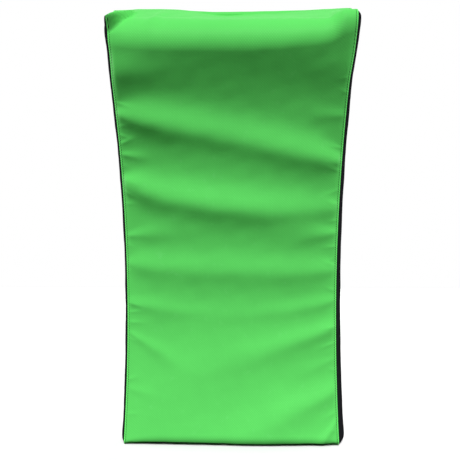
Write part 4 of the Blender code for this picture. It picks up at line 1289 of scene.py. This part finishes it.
# %% Zip tapes, beads and teeth
TEETH = 62
TOOTH_PITCH = 6 * MM
CHAIN_MIDDLE = -1.75 * MM
BEAD_Y = 2.4 * MM
TAPE_Y = 10.2 * MM
TAPE_HALF_LENGTH = 199 * MM
ZIP_STATIONS = 120
ZIP_ROWS = {"upper": 1, "lower": -1}

# Across the chain, half width along it and half thickness, in mm, from a tooth's foot to its tip
TOOTH_LOFT = np.array([
    (2.9, 0.90, 0.85), (2.3, 1.10, 1.20), (1.6, 1.08, 1.28), (0.8, 1.02, 1.22), (0.1, 1.12, 1.26),
    (-0.6, 1.24, 1.28), (-1.0, 1.20, 1.20), (-1.25, 0.85, 0.85),
])
OCTAGON = np.array([
    (1, 0.45), (0.7, 0.95), (-0.7, 0.95), (-1, 0.45),
    (-1, -0.45), (-0.7, -0.95), (0.7, -0.95), (1, -0.45),
])


def zip_place(x, y, z):
    """A point of the zip's own frame, x to the coach's right, y up the back and z straight out."""
    origin, axes = back_axes(ZIP_AT)
    return origin + joined(x, y, z) @ axes


def many_solids(name, points):
    """One mesh of many closed lofts, points[solid, ring, corner]; all rings have as many corners."""
    solids, rings, corners = points.shape[:3]
    ends = np.array([range(corners)[::-1], range((rings - 1) * corners, rings * corners)])
    starts = np.arange(solids)[:, None, None] * rings * corners
    sides = (starts + grid_quads(rings, corners, ring=True)[None]).reshape(-1, 4).tolist()
    caps = (starts + ends[None]).reshape(-1, corners).tolist()
    mesh = bpy.data.meshes.new(name)
    mesh.from_pydata(points.reshape(-1, 3), [], sides + caps)
    return shaded(mesh, signed_volume(mesh) < 0, 50)


def zip_row(side):
    """All teeth of one row, half a pitch from the other row's, and where each stands along the chain."""
    centres = (np.arange(TEETH) - (TEETH - 1) / 2) * TOOTH_PITCH - side * TOOTH_PITCH / 4
    across, half_long, half_thick = (column[None, :, None] * MM for column in TOOTH_LOFT.T)
    x = centres[:, None, None] + half_long * OCTAGON[:, 0]
    return zip_place(x, side * across, CHAIN_MIDDLE + half_thick * OCTAGON[:, 1]), centres


def along_zip(name, start, end, section):
    """A section of (up the back, outwards) drawn out along the zip."""
    x = np.linspace(start, end, ZIP_STATIONS)[:, None]
    points = zip_place(x, section[None, :, 0], section[None, :, 1])
    return grid_mesh(name, points, section_uv(points), ring=True, caps=True)


for label, side in ZIP_ROWS.items():
    teeth, centres = zip_row(side)
    place(many_solids(f"zip_{label}_teeth", teeth), ACETAL, "zip_plastic", f"zip_teeth_{label}")
    bead = rounded_box(0.7 * MM, -1.1 * MM, 1.1 * MM, 0.6 * MM, flat=1, bend=4)
    bead = bead + np.array([side * BEAD_Y, CHAIN_MIDDLE])
    ends = centres[0] - TOOTH_PITCH / 2, centres[-1] + TOOTH_PITCH / 2
    place(along_zip(f"zip_{label}_bead", *ends, bead), ACETAL, "zip_plastic")
    tape = rounded_box(6.8 * MM, -2.05 * MM, -1.45 * MM, 0.28 * MM, flat=6, bend=4)
    tape = tape + np.array([side * TAPE_Y, 0])
    tape_mesh = along_zip(f"zip_{label}_tape", -TAPE_HALF_LENGTH, TAPE_HALF_LENGTH, tape)
    place(tape_mesh, TAPE_FINISH, "zip_tape", f"zip_tape_{label}")
print("zip teeth:", 2 * TEETH)

# %% [markdown]
# The slider, its pull and the end stops are cast metal. Their solids already have the right shape, so
# each is copied, its loose triangles are joined and its edges are broken by a small bevel, as tumbling
# breaks a casting's. The eyelets are turned afresh with round lips, because they are pressed from sheet.

# %% Metal pieces
# Each casting's body and the width of its broken edges in mm
CASTINGS = {
    "zip_slider": ("slider", 0.28), "zip_slider_underplate": ("slider", 0.22), "zip_pull": ("pull", 0.3),
    "zip_stop_left": ("shield", 0.25), "zip_stop_right": ("shield", 0.25),
}

# Radius and height of each corner of a turned piece
EYELET_PROFILE = np.array([
    (4.5, -2.6), (5.0, -3.1), (6.2, -3.1), (6.6, -2.6), (5.2, -2.6), (5.2, 0.3), (10, 0.3),
    (10, 0.7), (8.4, 1.5), (5.9, 1.5), (4.5, 0.6),
]) * MM
WASHER_PROFILE = np.array([(5.5, -2.3), (10, -2.3), (10, -1.7), (5.5, -1.7)]) * MM

# Each turned piece's outline, and how far from a corner its rounding starts
TURNED = {"eyelet": (EYELET_PROFILE, 0.4 * MM), "eyelet_washer": (WASHER_PROFILE, 0.15 * MM)}


def casting(node, body, bevel):
    """A merged copy of a solid with flat faces rejoined and its edges broken."""
    mesh = bpy.data.meshes.new_from_object(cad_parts[node])
    mesh.name = f"{node}_casting"
    mesh.materials.clear()
    work = bmesh.new()
    work.from_mesh(mesh)
    bmesh.ops.remove_doubles(work, verts=work.verts, dist=0.002 * MM)
    bmesh.ops.dissolve_limit(
        work, angle_limit=math.radians(1), verts=work.verts, edges=work.edges, use_dissolve_boundaries=False
    )
    work.to_mesh(mesh)
    work.free()
    made = place(shaded(mesh, False, 40), NICKEL, "plated_metal", node, body=body)
    edge = made.modifiers.new("edge", "BEVEL")
    settle(edge, width=bevel, segments=3, limit_method="ANGLE", angle_limit=math.radians(35))


def softened(profile, radius, count=4):
    """The closed outline with each corner replaced by the parabola through points near it."""
    def towards(other):
        step = other - profile
        length = np.linalg.norm(step, axis=1, keepdims=True)
        return profile + step * np.minimum(radius / length, 0.45)

    before, after = towards(np.roll(profile, 1, 0)), towards(np.roll(profile, -1, 0))
    t = np.linspace(0, 1, count)[None, :, None]
    bent = (1 - t) ** 2 * before[:, None] + 2 * t * (1 - t) * profile[:, None] + t**2 * after[:, None]
    return bent.reshape(-1, 2)


def turned(name, profile, origin, axes):
    """A closed outline of (radius, height) turned about a frame's outward axis."""
    points = spun(*profile.T, np.linspace(0, math.tau, 64, endpoint=False)[:, None])
    return grid_mesh(name, origin + points @ axes, ring=True, loop=True, sharp=50)


for node, (body, bevel) in CASTINGS.items():
    casting(node, body, bevel * MM)
for name, side in SIDES.items():
    for where, height in EYELET_HEIGHTS.items():
        facet = eyelet_frame(side, height)
        for piece, (profile, soft) in TURNED.items():
            node = f"{name}_{where}_{piece}"
            mesh = turned(f"{node}_turned", softened(profile, soft), *facet)
            place(mesh, NICKEL, "plated_metal", node)
print("castings:", len(CASTINGS), "eyelets:", 2 * len(EYELET_HEIGHTS))

# %% [markdown]
# Every strap end, patch and hem is held by thread. A stitch is a short round thread that rises out of one
# needle hole and dives into the next, so it is a bent capsule. Rows of them are laid along paths: a box
# with a cross on each strap end, a border on each patch, and two rows along each hem of the zip.

# %% Stitches
THREAD = 0.42 * MM
STITCH_LENGTH = 3.6 * MM
STITCH_PITCH = 4.6 * MM
CAPSULE = np.array([0.35, 0.85, 1.0, 0.85, 0.35])
STITCH_SIDES = 6
STITCH_BOW = 1.1 * THREAD
STITCH_SUNK = 0.5 * THREAD
TAB_INSET = 4 * MM
BORDER_INSET = 7.5 * MM
HEM_ROWS = (2.6 * MM, 8.4 * MM)
HEM_ROW_HALF = 190 * MM
SLEEVE_ROW_HALF = 23 * MM
SLEEVE_HEM = 5 * MM
TOP_OF_PATCH = GAP + PATCH
TOP_OF_TAB = TOP_OF_PATCH + GAP + WEBBING


def along_path(corners):
    """Start points and directions of the stitches along a line of (across, up) corners."""
    corners = np.array(corners, float)
    starts, directions = [], []
    for a, b in zip(corners[:-1], corners[1:]):
        length = float(np.linalg.norm(b - a))
        count = max(1, round(length / STITCH_PITCH))
        way = (b - a) / length
        starts.append(a + way * (length / count * np.arange(count)[:, None]))
        directions.append(np.tile(way, (count, 1)))
    return np.concatenate(starts), np.concatenate(directions)


def stitch_points(starts, directions, surface):
    """Five rings of six points per stitch: along its direction, bowed upwards, laid on a surface."""
    t = np.linspace(0, 1, len(CAPSULE))[None, :, None]
    angle = np.arange(STITCH_SIDES) * math.tau / STITCH_SIDES
    sideways = np.stack([-directions[:, 1], directions[:, 0]], -1)
    travel = 0.5 * (STITCH_PITCH - STITCH_LENGTH) + STITCH_LENGTH * t
    middle = starts[:, None] + directions[:, None] * travel
    radius = THREAD * CAPSULE[None, :, None]
    flat = middle[:, :, None] + sideways[:, None, None] * (radius * np.cos(angle))[..., None]
    height = STITCH_BOW * 4 * t * (1 - t) - STITCH_SUNK + radius * np.sin(angle)
    return surface(flat[..., 0], flat[..., 1], height)


def on_back(x_at, height_at, over):
    """A patch of the back, as across and up from a middle point, at a height over it."""
    return lambda x, up, rise: back_point(height_at + up, over + rise, x_at + x)


def on_sleeve(side):
    """The outside of an arm sleeve, as across and up from its middle."""
    over = WEBBING + SLEEVE_EASE + SKIN
    return lambda x, up, rise: strap_place(up / STRAP_HALF_SPAN, x + side * STRAP_X, over + rise)


def rectangle(half_wide, half_high):
    """A closed run of corners."""
    return [(x * half_wide, y * half_high) for x, y in (*SQUARE, SQUARE[0])]


def sew(name, paths, surface):
    """One mesh of all the stitches along some paths, and how many there are."""
    points = np.concatenate([stitch_points(*along_path(path), surface) for path in paths])
    place(many_solids(name, points), THREAD_FINISH, "webbing")
    return len(points)


stitches = 0
for name, (height, x, length, width) in PATCHES.items():
    level = name.startswith("handle")
    tab_across = (HANDLE_TAB if level else STRAP_WIDTH) / 2 - TAB_INSET
    tab_up = (HANDLE_WIDTH if level else STRAP_TAB) / 2 - TAB_INSET
    box = rectangle(tab_across, tab_up)
    paths = [box, [box[0], box[2]], [box[1], box[3]]]
    stitches += sew(f"{name}_box_stitches", paths, on_back(x, height, TOP_OF_TAB))
    border = rectangle(width / 2 - BORDER_INSET, length / 2 - BORDER_INSET)
    stitches += sew(f"{name}_border_stitches", [border], on_back(x, height, TOP_OF_PATCH))
for label, away in ZIP_ROWS.items():
    rows = [[(-HEM_ROW_HALF, away * offset), (HEM_ROW_HALF, away * offset)] for offset in HEM_ROWS]
    stitches += sew(f"zip_{label}_hem_stitches", rows, on_back(0, ZIP_AT + away * ZIP_WINDOW, HEM_RISE))
for name, side in SIDES.items():
    end = STRAP_HALF_SPAN * SLEEVE_SHARE - SLEEVE_HEM
    ends = [[(-SLEEVE_ROW_HALF, at), (SLEEVE_ROW_HALF, at)] for at in (-end, end)]
    stitches += sew(f"{name}_sleeve_hem_stitches", ends, on_sleeve(side))
print("stitches:", stitches)

# %% Sizes and finish
VISUAL_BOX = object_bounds()
growth = [round((a - b) / MM, 2) for a, b in zip([*VISUAL_BOX[1]], [*CAD_BOX[1]])]
print("beyond the solids' upper corner, mm:", growth)
